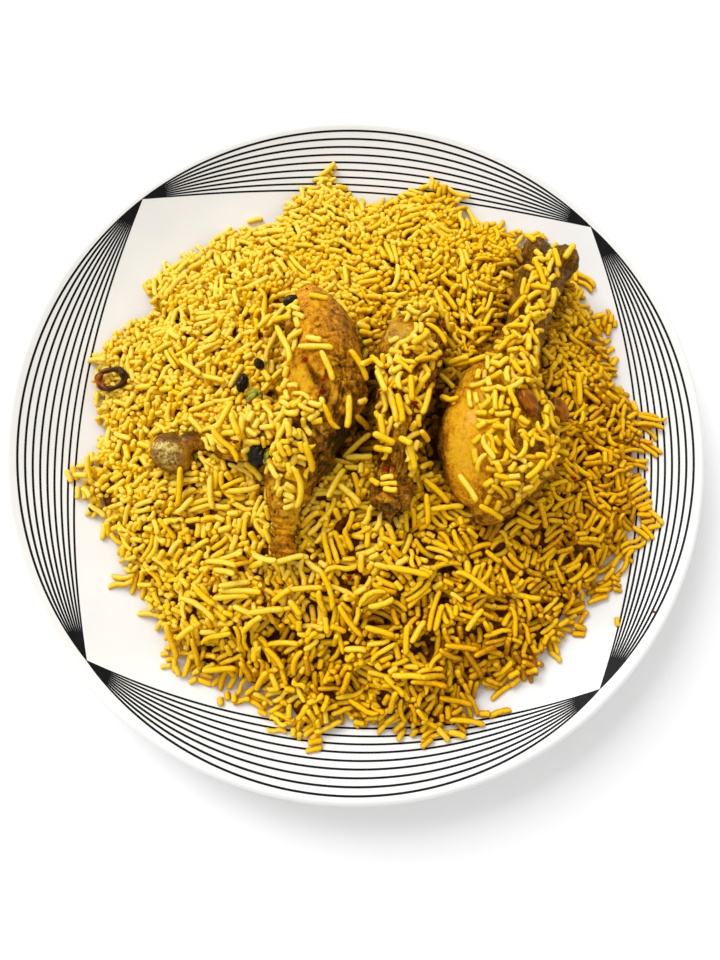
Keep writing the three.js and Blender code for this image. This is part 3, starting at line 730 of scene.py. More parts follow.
def heap_top(x, y):
    """The height of the heap's surface, taken smooth, and the share of its reach."""
    dx, dy = x - HEAP[0], y - HEAP[1]
    reach = heap_reach(np.arctan2(dy, dx))
    share = np.hypot(dx, dy) / reach
    inside = np.minimum(1, share)
    out = inside * (1 + (reach / HEAP_R - 1) * (1 - inside**2))
    swell = np.sin(x * 0.11 + 1) * np.sin(y * 0.13 + 2) * SWELL * (1 - out)
    dome = (1 - np.minimum(1, out) ** FULLNESS) ** SHOULDER
    return EDGE_Z + (PEAK_Z - EDGE_Z) * dome + swell, share


chicken = [thigh_skin, left_leg, wing_meat, right_leg]
points, faces = [], []
for mesh in chicken:
    faces += [tuple(k + len(points) for k in f.vertices) for f in mesh.polygons]
    points += [v.co / MM for v in mesh.vertices]
flesh_tree = BVHTree.FromPolygons(points, faces)
ticks = np.arange(-SPAN, SPAN + CELL, CELL)
cell_x, cell_y = np.meshgrid(ticks, ticks, indexing="ij")
chicken_top = np.full(cell_x.shape, -100.0)
chicken_low = np.full(cell_x.shape, 1000.0)
low_corner, high_corner = np.min(points, axis=0), np.max(points, axis=0)
span = [
    np.flatnonzero((ticks > low_corner[k] - 1) & (ticks < high_corner[k] + 1)) for k in range(2)
]
for i, j in itertools.product(*span):
    hit = flesh_tree.ray_cast(Vector((ticks[i], ticks[j], 100)), Vector((0, 0, -1)))[0]
    if hit:
        chicken_top[i, j] = hit.z
        below = flesh_tree.ray_cast(Vector((ticks[i], ticks[j], -10)), Vector((0, 0, 1)))[0]
        chicken_low[i, j] = below.z

cells = np.stack([cell_x, cell_y, 0 * cell_x], -1)
floor = plate_top(np.hypot(cell_x, cell_y))
far = np.clip(0.45 + (cell_y - 0.6 * cell_x) / 110, 0, 1)
surface, share = heap_top(cell_x, cell_y)
gap = sum(depth * spot(cells, *oval) for *oval, depth in GAPS)
lumps = clouds(cells, LUMP, 51) + 0.55 * clouds(cells, LUMP / 2.4, 52)
rough_top = surface + (NEAR_LUMPS + (FAR_LUMPS - NEAR_LUMPS) * far) * lumps - gap - 0.2
core_top = np.minimum(rough_top - CORE_DEPTH, chicken_low - 2.5)
core_top = np.maximum(core_top, floor + 0.5)


def at_cell(grid, x, y):
    """A grid's values at places on the plate."""
    i = np.clip(((np.asarray(x) + SPAN) / CELL + 0.5).astype(int), 0, len(ticks) - 1)
    j = np.clip(((np.asarray(y) + SPAN) / CELL + 0.5).astype(int), 0, len(ticks) - 1)
    return grid[i, j]


angles = np.arange(CORE_SECTORS) * 2 * math.pi / CORE_SECTORS
points, faces = [], []
for ring in range(1, CORE_RINGS + 1):
    r = (heap_reach(angles) - CORE_INSET) * ring / CORE_RINGS
    x, y = HEAP[0] + r * np.cos(angles), HEAP[1] + r * np.sin(angles)
    z = at_cell(core_top, x, y) + 0.6 * clouds(np.stack([x, y, 0 * x], 1), 2.2, 41) - 0.6
    z = np.maximum(z, plate_top(np.hypot(x, y)) + 0.35)
    points += np.stack([x, y, z], 1).tolist()
for share_out in (1, 0.7):
    r = (heap_reach(angles) - CORE_INSET) * share_out - 0.5
    x, y = HEAP[0] + r * np.cos(angles), HEAP[1] + r * np.sin(angles)
    points += np.stack([x, y, plate_top(np.hypot(x, y)) + 0.15], 1).tolist()
for ring, k in itertools.product(range(CORE_RINGS + 1), range(CORE_SECTORS)):
    a, b = ring * CORE_SECTORS + k, ring * CORE_SECTORS + (k + 1) % CORE_SECTORS
    faces.append((a, b, b + CORE_SECTORS, a + CORE_SECTORS))
top = len(points)
points += [(*HEAP, float(at_cell(core_top, *HEAP))), (*HEAP, WELL_Z + 0.15)]
for k in range(CORE_SECTORS):
    nxt = (k + 1) % CORE_SECTORS
    faces.append((nxt, k, top))
    last = (CORE_RINGS + 1) * CORE_SECTORS
    faces.append((last + k, last + nxt, top + 1))

# Steeped rice in the depth of the heap: a dull brown-gold painted as the shade between the grains,
# darkest at the edge of each kernel.
depths, tree, place = finish_of("steeped_and_shaded_rice")
kernels = add(tree, "ShaderNodeTexVoronoi", {"Vector": place, "Scale": 380})
dark = add(
    tree, "ShaderNodeValToRGB", {"Fac": kernels},
    stops=[(0.1, "#a06404"), (0.5, "#764002"), (0.9, "#3e1f01")],
)
hollow = add(tree, "ShaderNodeBump", {"Height": kernels, "Strength": 0.8, "Distance": 0.001})
hollow.invert = True
shader = add(
    tree, "ShaderNodeBsdfPrincipled",
    {"Base Color": dark, "Roughness": 0.6, "IOR": 1.2, "Normal": hollow},
)
add(tree, "ShaderNodeOutputMaterial", {"Surface": shader})
piece("rice_core", mesh_of("rice_core", points, faces), depths, ["rice_heap"])

# The rice: grains of boiled long-grain rice, stained with turmeric and fried spice. Each is laid on
# whatever is under it, as a falling stick comes to rest, until the heap is full to its surface.
SEED = 7
STEEPEST = 0.8
SINK = 0.3
HIDDEN_DEPTH = 4.6
# The heap is laid in rounds. The last ones fill what smaller room is left with shorter grains.
ROUNDS = 42
FILL_ROUNDS = 12
TRIES = 1200
ROOM = 1.1
FILL_ROOM = 0.75
SHORTEST = 4
# How far a grain may stand proud of the surface, and how often one stands on end, at the near side
# and how much more at the far side, and how often the next lies along it, and how much less there.
PROUD = 0.8
ON_END = (0.04, 0.16)
SIDE_BY_SIDE = (0.55, 0.3)
LOAD_ROUNDS = 24
LOAD_TRIES = 400
# The ceiling over a grain that is laid on top, whatever is there.
OPEN = 50
# Kinds of grain: name, share at the near and at the far side, shortest and longest, thickness, and
# how far it is bowed, bent to an S and hooked at one end, in millimetres.
KINDS = [
    ["straight", 0.12, 0.12, 8.5, 12, 2.15, 0.4, 0.15, 0],
    ["bowed", 0.18, 0.14, 8.5, 12, 2.15, 1.3, 0, 0],
    ["arched", 0.13, 0.07, 9, 13, 2.1, 2.6, 0, 0],
    ["wavy", 0.12, 0.08, 8.5, 12.5, 2.1, 0.4, 0.9, 0],
    ["hooked", 0.12, 0.07, 8.5, 12, 2.1, 0.5, 0, 2.2],
    ["plain", 0.13, 0.2, 6, 8.5, 2.2, 0.6, 0.1, 0],
    ["stout", 0.1, 0.15, 5, 7, 2.4, 0.4, 0, 0.3],
    ["short", 0.08, 0.12, 4, 5.8, 2.25, 0.1, 0, 0],
    ["broken", 0.03, 0.05, 3, 4.2, 2.2, 0, 0, 0],
    ["curled", 0.01, 0.0, 10, 13, 2.0, 4.2, 0, 0],
]
# Rice that lies on the chicken, as spots and how deep it lies.
LOADS = [
    [-31, 30, 8, 14, -12, 4.4], [-31, -6, 12, 14, 0, 4], [-22, -1, 9, 4.5, 15, 3.4],
    [-25, -14, 8, 8, 0, 3.2], [-23.5, -26, 5, 6, 0, 2.8], [-43, -4, 10.5, 13, 0, 4.6],
    [9, 10, 7, 14, -8, 3.8], [24, 20, 6, 9, 20, 3.4], [21, 40, 6.5, 5, 20, 4.2],
    [-29.5, 14, 4, 7, 0, 3.2], [21, 6, 5, 8, 0, 2.2], [30, 41, 6, 4, 0, 3.4],
    [7.6, -9, 3.4, 8, 0, 2.8], [19.5, -13, 3.6, 10, 0, 2.8], [57.4, 3, 4.6, 6.6, 24, -9],
    [55, 22, 9, 15, -15, 4], [66, 48, 7, 13, -20, 3.4], [70, 63, 6, 5, 0, 1.8],
    [54, 4, 12, 13, 0, 4.6], [60, -16, 13, 16, 0, 4.4], [51, -23, 9, 8, 0, 3.2],
    [46, -12, 6, 6, 0, 2.8], [11, -24, 5, 4, 0, 1.2],
]
# Grains that catch the eye: middle, heading in degrees, and length, minus where one bows to the left.
MARKED = {
    "straight": [
        [31, -31.1, 6, 12.9], [-15.2, 21.8, -5, 12.3], [-19.7, -1.5, -65, -14.1],
        [-47.5, 0.3, -114, 13.2], [-63.1, -29.6, -136, 8.3], [-64.7, -23, -98, 14.7],
        [-45.2, -62.3, 3, 13.3], [-42, -60.3, -3, 15.7], [-43.8, -57.8, 7, 11.2],
        [-47.6, -53.5, -14, 12.3], [-24, -49.3, 13, 10.3], [-18.5, -59.4, 2, 12.2],
        [-27.2, -61.8, 32, 8.7], [-32.5, -67.2, 5, 12.5], [-62.4, -75.1, 34, 9.6],
        [-59.6, -82.3, -84, 13], [-68.3, -78.7, -77, 14.9], [-50.6, -88.5, 2, 12.5],
        [17.3, -53.4, -13, 15.6], [28.8, -69.6, 72, 10.1], [7.6, -74.4, -18, 11.1],
        [17.1, -77.2, 85, 10.6], [21.3, -74.4, 53, 10.1], [42.1, -86.2, -55, 14.1],
        [17.4, -89.9, -3, 11.1], [26.7, -90.3, -3, 11.4], [12.9, -93.5, -46, 10.1],
        [12.5, -99.5, 77, 10.7], [37.2, -80.2, -9, 13.1], [35.9, -99.7, -15, 13.8],
        [-54.7, 17.4, -18, 12.3], [-62.7, 22, -40, 12.8],
    ],
    "bowed": [
        [-0.4, 16.5, -57, 12.2], [-25.2, -9, -22, 16], [-30.6, -18.8, 26, -10.7],
        [-26.9, 4.1, -47, 14.6], [38.9, 21.9, 0, -15.1], [31.5, 6.2, -50, 8.7],
        [43.3, -13.4, 22, 12.8], [55, -1.5, -68, 10], [-40.8, -7, -102, 9.5],
        [-52.8, -25.2, -86, -12.2], [-41, -24, 8, -11.9], [-49, -50.6, -9, 13],
        [-55.1, -61.3, -42, -11.1], [-33.1, -48.6, -17, -12.5], [-12.8, -63.9, -73, -8.9],
        [-37.7, -72.1, 39, 11], [-26.9, -79, 1, 11.9], [-30.1, -84.1, -49, 10.1],
        [8, -64.3, 18, -9.6], [27.3, -67.2, 74, 15], [-2.9, -70.5, -53, -14.1],
        [33.2, -82.5, -24, -11.7], [25.2, -92.9, -8, 13.6], [40.1, -107.4, -9, 13.8],
        [52.7, -104.6, 17, 8.8], [54.4, -97.3, 34, 10.6], [-103.1, 29.7, -10, 11],
        [-102.5, -14.1, -86, -11.5], [-103.9, -23, -44, 6.6],
    ],
    "arched": [
        [10, 15.7, -68, -23.5], [27, 29.4, -47, 10.3], [-57.9, -66.5, -32, 15.5],
        [-11.4, -59.9, -72, 15.6],
    ],
    "wavy": [
        [-46.3, -10.4, -54, 14.9],
    ],
    "hooked": [
        [31.3, 6.6, -48, 8.2], [-32.4, 29, -113, 15.1], [-22.9, 27.1, -156, 7.2],
        [-10, -2.8, -67, 10.1], [-26.1, 23.8, -63, -16.2], [51.5, 25.8, 52, -11.2],
        [-51.3, -76.5, -171, 13.8], [41.8, -56.9, 142, 16.4], [2, -102, -34, 12.3],
    ],
    "curled": [
        [-21.9, -26.2, -85, 15.2], [4.9, -63.1, 29, 11],
    ],
    "plain": [
        [21.9, 21.9, 9, 12.7], [20.9, 25.8, 46, -10], [22.9, 18.3, 16, 10.1], [11, 1.9, -75, 12.1],
        [13.5, 0.6, -81, 10.4], [22.7, 3.8, -108, 11.9], [7.3, -5.8, -85, 10.1],
        [22.5, -7.5, -39, 6.3], [17.7, -15.2, -75, 9.7], [35.8, 22.1, 4, 8.4],
        [23.9, -16.5, 29, 7.9], [27.4, -25.4, -42, 12.4], [23.9, -32, -87, 11.5],
        [-30.2, 41.3, 49, 12.7], [-27.7, 34.4, -17, 11.1], [-11.2, 15, -68, 11.2],
        [-31.4, 14.9, 48, 11.4], [-4, -0.1, -94, 11.3], [1, -1.3, -34, 8.6],
        [-17.1, -16.3, -75, 11.1], [-37.5, -18.2, -46, 8.8], [-22.7, -24.1, -51, 10.3],
        [-0.7, -8.5, 39, 13.5], [-3.5, -26.3, -42, 10.8], [-8.1, -22.9, 61, 12.7],
        [37, -25.6, -58, 11.2], [45.4, -33.6, -27, 10.6], [51.8, -9.9, 1, 10.4],
        [56.7, -12.4, 56, 8.8], [66.2, 55.2, -73, 11.2], [58, 42.9, 46, 9], [56.5, 33.3, -9, 7.3],
        [67.2, -33, -68, 10.9], [84.3, 16.3, -87, 12.6], [64.2, -17.8, -60, 8.5],
        [66.6, 75.5, -72, 7.7], [-59.3, -0.7, -49, 7.9], [-41.8, -5.2, 109, 8.4],
        [-40.9, -89.1, -66, 10.4], [-18.3, -86.5, -85, 9.4], [-35.1, -92.4, 58, 10.6],
        [-4.6, -92.7, -111, 9.8], [41.7, -70.4, 50, 9.9], [45.8, -81.6, 17, 11.5],
        [-29.8, 41.5, 54, 12.6],
    ],
    "stout": [
        [13.8, 15.2, 49, 8.7], [15.6, 7.9, -83, 9], [8.1, -9.6, -24, 8.3], [0.1, -12.9, -2, 10],
        [7.1, 9.9, -73, 9.8], [-23.5, -11.6, -21, 9], [43.7, 4.4, -67, 8.3], [48.4, -5.4, -55, 8.5],
        [42.8, -14.5, -62, 8.2], [58.3, 12.2, -35, 7.3], [55.3, 17.4, -6, 7.5],
        [-22.5, -66, -55, 6.9], [-35.8, -51.1, 17, 7],
    ],
    "short": [
        [2.4, 18, 47, 8.4], [31.4, 31.5, -49, 4.3], [17.3, 7.3, -87, 8.9], [15.4, -10.4, -35, 5.5],
        [7.9, -12.6, -24, 8.4], [5.2, -22.9, -44, 5.6], [5.9, 18.9, -65, 12.7],
        [20.3, 14.7, -67, 5.9], [-14.5, 42.5, -12, 7.1], [-15.9, 24.8, -17, 6],
        [-33.9, 17.3, -58, 8.4], [-35.2, 38.6, -124, 8.2], [63.7, -9.5, 14, 9.3],
        [73.5, 62.2, -80, 8.2], [66, 49.1, -25, 7.3], [80.3, 67.7, 55, 7.9], [-64.5, 68.6, 26, 7.4],
        [46.9, -104.6, 7, 4.2], [57.9, -90.5, 31, 4.9], [58.8, -93.5, 42, 4.7],
        [63, -86.6, -20, 6.7], [64.4, -89.2, 24, 5], [68.4, -87, -26, 4.5],
        [-106.5, -16.1, -7, 7.7],
    ],
}
HIGHEST = 57.6


def lay(pile, ceiling, x, y, heading, kind, length, thick, spice, steepest=STEEPEST, side=0):
    """Lays a grain where it comes to rest, if that is below the ceiling, and heaps it on the pile."""
    reach = length / 2 - thick * 0.3
    steps = np.linspace(-reach, reach, 9)
    ahead, aside = (math.cos(heading), math.sin(heading)), thick * 0.35
    px = x + steps[:, None] * ahead[0] - aside * np.array([-1, 0, 1]) * ahead[1]
    py = y + steps[:, None] * ahead[1] + aside * np.array([-1, 0, 1]) * ahead[0]
    under = at_cell(pile, px, py).max(1)
    left, right = slice(0, 4), slice(5, 9)
    chords = under[left, None] * steps[right] - under[right] * steps[left, None]
    middle = max((chords / (steps[right] - steps[left, None])).max(), under[4])
    lower = ((under[right] - middle) / steps[right]).max()
    upper = ((under[left] - middle) / steps[left]).min()
    slope = lower if abs(lower) < abs(upper) else upper
    if abs(slope) > steepest:
        slope = math.copysign(steepest, slope)
        middle = (under - slope * steps).max()
    middle += thick * (0.5 - SINK)
    roof = at_cell(ceiling, px[:, 1], py[:, 1])
    crown = middle + slope * steps + thick / 2
    if (crown > roof + PROUD).any() or crown.max() > HIGHEST:
        return False
    heap_up(pile, x, y, middle, heading, slope, length, thick)
    grains.append((kind, x, y, middle, heading, math.atan(slope), length, thick, spice, side))
    return True


def heap_up(pile, x, y, z, heading, slope, length, thick):
    """Raises the pile to the top of a grain."""
    flat = math.cos(math.atan(slope))
    reach = length / 2 * flat + thick / 2
    i = slice(int((x - reach + SPAN) / CELL), int((x + reach + SPAN) / CELL) + 2)
    j = slice(int((y - reach + SPAN) / CELL), int((y + reach + SPAN) / CELL) + 2)
    dx, dy = ticks[i][:, None] - x, ticks[j][None] - y
    along = dx * math.cos(heading) + dy * math.sin(heading)
    across = dy * math.cos(heading) - dx * math.sin(heading)
    inside = (np.abs(across) < thick / 2) & (np.abs(along) < length / 2 * flat)
    crown = np.sqrt(np.maximum(0, thick * thick / 4 - across**2)) / flat
    pile[i, j] = np.where(inside, np.maximum(pile[i, j], z + slope * along + crown), pile[i, j])


def stand(pile, ceiling, x, y, heading, kind, length, thick, spice):
    """Pushes a grain in on end, so that only its tip shows."""
    slope = draw.uniform(0.9, 2.4)
    pitch = math.atan(slope)
    reach = length / 2 * math.cos(pitch)
    tip_x, tip_y = x + reach * math.cos(heading), y + reach * math.sin(heading)
    tip = at_cell(pile, tip_x, tip_y) + thick * draw.uniform(0.2, 0.9)
    if tip > at_cell(ceiling, tip_x, tip_y) + PROUD:
        return False
    z = tip - (length / 2 - thick / 2) * math.sin(pitch) - thick / 2
    if z - length / 2 * math.sin(pitch) < at_cell(floor, x, y) + 1:
        return False
    heap_up(pile, x, y, z, heading, slope, length, thick)
    grains.append((kind, x, y, z, heading, pitch, length, thick, spice, 0))
    return True


def choose_kind(far):
    """A kind of grain and its size, for a place at the near side (0) or the far side (1)."""
    shares = np.array([row[1] * (1 - far) + row[2] * far for row in KINDS])
    kind = draw.choice(len(KINDS), p=shares / shares.sum())
    shortest, longest, thick = KINDS[kind][3:6]
    return kind, draw.uniform(shortest, longest), thick * draw.uniform(0.9, 1.12)


# Where the edge of the heap reaches out or draws in, as spots and how far.
TONGUES = [
    [117, 5.8, 4, 4], [111, -5, 4, 2], [113, -32.5, 4, 2], [109, -38.5, 5, 2], [105, -46, 5, 3],
    [98.5, -56, 6, 5], [94, -61, 5, 4], [110, -16, 4, 3], [85, -74, 5, 3], [68.5, -85.5, 5, -1],
    [56.6, -96.6, 6, -1], [47, -98, 4, -5], [17, -116, 5, -6], [-16.5, -114, 3.5, 5],
    [-65.6, -88.3, 5, 4], [-42, -99.3, 5, 4], [-92, -54, 5, 4], [-111, -16, 3, 7],
    [-103, -22, 3, 4], [-99, -3, 4, 3], [-96, -26, 3.5, -7], [-94, -35, 4, 4], [-106.6, 31.2, 4, 4],
    [-24.3, 106.7, 5, 1], [-22, 114, 4, -4], [-12.6, 115.7, 3, 7], [34.6, 107.5, 5, 4],
    [42.2, 107.5, 5, 3], [48.5, 100.4, 3, -4], [56.3, 96.6, 3, 3], [76.7, 88, 5, 4],
    [84.6, 84.2, 5, 5], [98, 60.3, 5, 1], [103, 50, 5, 5], [103, 40.4, 5, 5], [94, 70, 4, 4],
    [103, 30.5, 4, 3], [-80.3, -67, 4, 4], [-32, -107, 6, 6], [-20.9, -117, 4, -5],
    [-7, -113, 5, -3], [-76, -77, 4, -4], [-96.8, -43.5, 4, -5], [-107.8, 14.7, 4, -3],
    [-33.3, 95.8, 5, -4], [-61, 84, 5, -4], [-84.4, -65.2, 4, -4], [6, -108, 6, 1],
    [108.3, 24, 5, -4],
]

draw = np.random.default_rng(SEED)
grains = []
edge_noise = 1.6 * clouds(cells, 6, 53)
tongues = sum(reach * spot(cells, x, y, wide, wide) for x, y, wide, reach in TONGUES)
margin = (1 - share) * HEAP_R + edge_noise + np.clip(0.8 * tongues, -6, 4) - 0.6
ceiling = np.maximum(rough_top, floor + 3.4)
edge_top = floor + 4 + np.maximum(margin, 0) * 1.5
ceiling = np.where(margin < 7, np.minimum(ceiling, edge_top), ceiling)
ceiling = np.where(margin < 0, floor + 2.9, ceiling)
ceiling = np.where(margin < -6, floor - 5, ceiling)
ceiling = np.minimum(ceiling, chicken_low + 1)
pile = np.maximum(floor, np.where(core_top > floor + 0.6, core_top, floor))
turning = clouds(cells, 22, 54) * math.pi
spice_map = 0.5 + 0.35 * clouds(cells, 18, 55) + 0.25 * clouds(cells, 5, 56)
for turn_round in range(ROUNDS):
    filling = turn_round >= ROUNDS - FILL_ROUNDS
    least = FILL_ROOM if filling else ROOM
    room = np.flatnonzero(((ceiling - pile > least) & (margin > 0)).ravel())
    for cell in draw.choice(room, min(TRIES, len(room)), replace=False):
        i, j = divmod(int(cell), len(ticks))
        x, y = ticks[i] + draw.uniform(-0.25, 0.25), ticks[j] + draw.uniform(-0.25, 0.25)
        kind, length, thick = choose_kind(far[i, j])
        if filling:
            length = max(SHORTEST, 0.6 * length)
        heading = turning[i, j] + draw.normal(0, 0.8)
        spice = spice_map[i, j]
        if draw.random() < ON_END[0] + ON_END[1] * far[i, j]:
            stand(pile, ceiling, x, y, heading, kind, length, thick, spice)
            continue
        if not lay(pile, ceiling, x, y, heading, kind, length, thick, spice):
            continue
        for side in (-1, 1):
            beside = 0
            while draw.random() < SIDE_BY_SIDE[0] - SIDE_BY_SIDE[1] * far[i, j] and beside < 3:
                beside += 1
                off = thick * draw.uniform(0.95, 1.1) * side * beside
                slide = draw.uniform(-1.6, 1.6)
                nx = x - off * math.sin(heading) + slide * math.cos(heading)
                ny = y + off * math.cos(heading) + slide * math.sin(heading)
                turn = heading + draw.normal(0, 0.08)
                lay(pile, ceiling, nx, ny, turn, kind, length * draw.uniform(0.85, 1.1), thick, spice)

load = sum(depth * spot(cells, *oval) for *oval, depth in LOADS)
pile = np.maximum(pile, chicken_top)
ceiling = np.where((chicken_top > 0) & (load > 0.7), chicken_top + load + 0.6, pile - 1)
for turn_round in range(LOAD_ROUNDS):
    room = np.flatnonzero((ceiling - pile > 0.6).ravel())
    if not len(room):
        break
    for cell in draw.choice(room, min(LOAD_TRIES, len(room)), replace=False):
        i, j = divmod(int(cell), len(ticks))
        kind, length, thick = choose_kind(min(1, 0.5 + turn_round / LOAD_ROUNDS))
        heading = draw.uniform(0, 2 * math.pi)
        length = max(SHORTEST, length * draw.uniform(0.6, 0.9))
        lay(pile, ceiling, ticks[i], ticks[j], heading, kind, length, thick * 0.96, -0.5, 1.5)

names = [row[0] for row in KINDS]
for name, places in MARKED.items():
    kind = names.index(name)
    for x, y, heading, length in places:
        thick = KINDS[kind][5] * draw.uniform(0.98, 1.12)
        side, turn = math.copysign(1, length), math.radians(heading)
        lay(pile, pile + OPEN, x, y, turn, kind, abs(length), thick, 0, 1.2, side)

# What lies deeper than any gap shows is left out.
rows = np.array(grains)
shown = np.zeros(len(rows), bool)
for step in (-0.45, -0.2, 0, 0.2, 0.45):
    along = rows[:, 6] * step * np.cos(rows[:, 5])
    x, y = rows[:, 1] + along * np.cos(rows[:, 4]), rows[:, 2] + along * np.sin(rows[:, 4])
    crown = rows[:, 3] + along * np.tan(rows[:, 5]) + rows[:, 7] / 2
    shown |= at_cell(pile, x, y) - crown < HIDDEN_DEPTH
rows = rows[shown]

# Boiled rice: a soft, moist, half clear grain, yellow from turmeric, with a finely creased surface,
# browner where the sauce stains it, under a thin film of fat that shines a little. Each grain is
# painted paler where it faces the window and darker on its flanks, and grains deep in the hollows are
# painted browner, as shade.
rice, tree, place = finish_of("turmeric_rice")
tint, stain, rib, crest = (
    add(tree, "ShaderNodeAttribute", attribute_name=name).outputs["Fac"]
    for name in ("tint", "stain", "rib", "crest")
)
streaks = add(tree, "ShaderNodeTexNoise", {"Vector": place, "Scale": 800, "Detail": 3})
shade = add(tree, "ShaderNodeMath", {0: streaks, 1: 0.8, 2: tint}, operation="MULTIPLY_ADD")
# Painted shade: darker on the flanks of each grain (rib).
shade = add(tree, "ShaderNodeMath", {0: rib, 1: -0.15, 2: shade}, operation="MULTIPLY_ADD")
# Painted highlight: paler where the grain faces the window (crest).
shade = add(tree, "ShaderNodeMath", {0: crest, 1: 0.85, 2: shade}, operation="MULTIPLY_ADD")
shade = add(tree, "ShaderNodeMath", {0: shade, 1: 0.64}, operation="SUBTRACT")
YELLOWS = [
    (0.0, "#c27c03"), (0.2, "#e09f04"), (0.4, "#f4b806"),
    (0.65, "#ffcc0e"), (0.9, "#ffd32c"), (1.0, "#ffdf5e"),
]
yellow = add(tree, "ShaderNodeValToRGB", {"Fac": shade}, stops=YELLOWS)
# Browned by the stain, which holds real sauce and painted shade.
stained = add(tree, "ShaderNodeMix", {0: stain, 6: yellow, 7: linear("#a06206")}, data_type="RGBA")
crease = add(tree, "ShaderNodeTexNoise", {"Vector": place, "Scale": 1300, "Detail": 2})
creased_rice = add(tree, "ShaderNodeBump", {"Height": crease, "Strength": 0.6, "Distance": 0.0003})
shader = add(tree, "ShaderNodeBsdfPrincipled", {
    "Base Color": stained.outputs[2],
    "Roughness": 0.16,
    "IOR": 1.6,
    "Specular Tint": linear("#ffdb70"),
    "Subsurface Weight": 0.15,
    "Subsurface Radius": (1.0, 0.75, 0.12),
    "Subsurface Scale": 0.001,
    "Normal": creased_rice,
})
# Light that has gone through the half clear grain shows evenly on it, from edge to edge.
upward = add(
    tree, "ShaderNodeVectorMath", {0: creased_rice, 1: (0.5, 0.5, 0.5), 2: (0, 0, 0.5)},
    operation="MULTIPLY_ADD",
)
upward = add(tree, "ShaderNodeVectorMath", {0: upward}, operation="NORMALIZE")
glow = add(tree, "ShaderNodeBsdfDiffuse", {"Color": stained.outputs[2], "Normal": upward})
lit = add(tree, "ShaderNodeMixShader", {0: 0.6, 1: shader, 2: glow})
add(tree, "ShaderNodeOutputMaterial", {"Surface": lit})

GRAIN_SIDES = 6
# The way to the window's light: each grain is painted palest where it faces it, a painted highlight.
WINDOW_FACING = (-0.25, 0.25, 0.93)
# Where a grain's rings of points are along it, and how thick it is there.
GRAIN_RINGS = [
    (-0.49, 0.42), (-0.455, 0.74), (-0.37, 0.94), (-0.12, 1.04),
    (0.14, 0.92), (0.36, 1.02), (0.46, 0.84), (0.492, 0.52),
]


def grain_mesh(name, length, thick, bow, sway, hook):
    """One grain lying along X: blunt at both ends, bowed, swayed to an S or hooked at one end."""
    ends = [(0, -0.5), *((wide, at) for at, wide in GRAIN_RINGS), (0, 0.5)]
    points, faces = turned(ends, GRAIN_SIDES)
    points = np.asarray(points)
    at = points[:, 2]
    past = np.maximum(0, at - 0.12) / 0.38
    x = at * length * (1 - 0.25 * hook / length * past**2)
    y = points[:, 0] * thick / 2 + bow * (0.5 - 2 * at**2) + sway * np.sin(2 * math.pi * at)
    y += hook * past**2 - hook * 0.25
    z = points[:, 1] * thick / 2 * 0.9
    made = mesh_of(name, np.stack([x, y, z], 1), faces)
    # rib: how far to the side each point lies, for the painted shade on the grain's flanks.
    return with_values(made, rib=np.abs(points[:, 0]))


# The tree that sets grains out: one at each point, turned and sized by what the point holds.
scatter = bpy.data.node_groups.new("grains_on_points", "GeometryNodeTree")
for label, kind in (("Points", "Geometry"), ("Grain", "Object"), ("Finish", "Material")):
    scatter.interface.new_socket(label, in_out="INPUT", socket_type="NodeSocket" + kind)
scatter.interface.new_socket("Grains", in_out="OUTPUT", socket_type="NodeSocketGeometry")
given = add(scatter, "NodeGroupInput")
one = add(scatter, "GeometryNodeObjectInfo", {"Object": given.outputs["Grain"], "As Instance": True})
turns = add(scatter, "GeometryNodeInputNamedAttribute", {"Name": "turn"}, data_type="FLOAT_VECTOR")
sizes = add(scatter, "GeometryNodeInputNamedAttribute", {"Name": "size"}, data_type="FLOAT_VECTOR")
set_out = add(scatter, "GeometryNodeInstanceOnPoints", {
    "Points": given.outputs["Points"],
    "Instance": one.outputs["Geometry"],
    "Rotation": turns.outputs["Attribute"],
    "Scale": sizes.outputs["Attribute"],
})
bare_turn = add(scatter, "GeometryNodeRemoveAttribute", {"Geometry": set_out, "Name": "turn"})
bare_size = add(scatter, "GeometryNodeRemoveAttribute", {"Geometry": bare_turn, "Name": "size"})
real = add(scatter, "GeometryNodeRealizeInstances", {"Geometry": bare_size})
finished = add(
    scatter, "GeometryNodeSetMaterial", {"Geometry": real, "Material": given.outputs["Finish"]},
)
add(scatter, "NodeGroupOutput", {"Grains": finished})


def set_out_grains(name, shape, places, turns, sizes, **values):
    """Grains of one shape, as one plain mesh."""
    points = bpy.data.meshes.new(name)
    points.from_pydata((np.asarray(places) * MM).tolist(), [], [])
    for label, data in (("turn", turns), ("size", sizes)):
        layer = points.attributes.new(label, "FLOAT_VECTOR", "POINT")
        layer.data.foreach_set("vector", np.asarray(data, np.float32).ravel())
    with_values(points, **values)
    holder = bpy.data.objects.new(name, points)
    model = bpy.data.objects.new(name + "_model", shape)
    bpy.context.scene.collection.objects.link(holder)
    bpy.context.scene.collection.objects.link(model)
    laid = holder.modifiers.new("grains", "NODES")
    laid.node_group = scatter
    for item in scatter.interface.items_tree:
        if item.name == "Grain":
            laid[item.identifier] = model
        if item.name == "Finish":
            laid[item.identifier] = rice
    graph = bpy.context.evaluated_depsgraph_get()
    made = bpy.data.meshes.new_from_object(holder.evaluated_get(graph))
    made.name = name
    for extra in (holder, model):
        bpy.data.objects.remove(extra)
    # crest: how squarely each point faces the window, for the painted highlight on each grain.
    normals = np.empty(len(made.vertices) * 3)
    made.vertex_normals.foreach_get("vector", normals)
    return with_values(made, crest=np.clip(normals.reshape(-1, 3) @ WINDOW_FACING, 0, 1) ** 2)


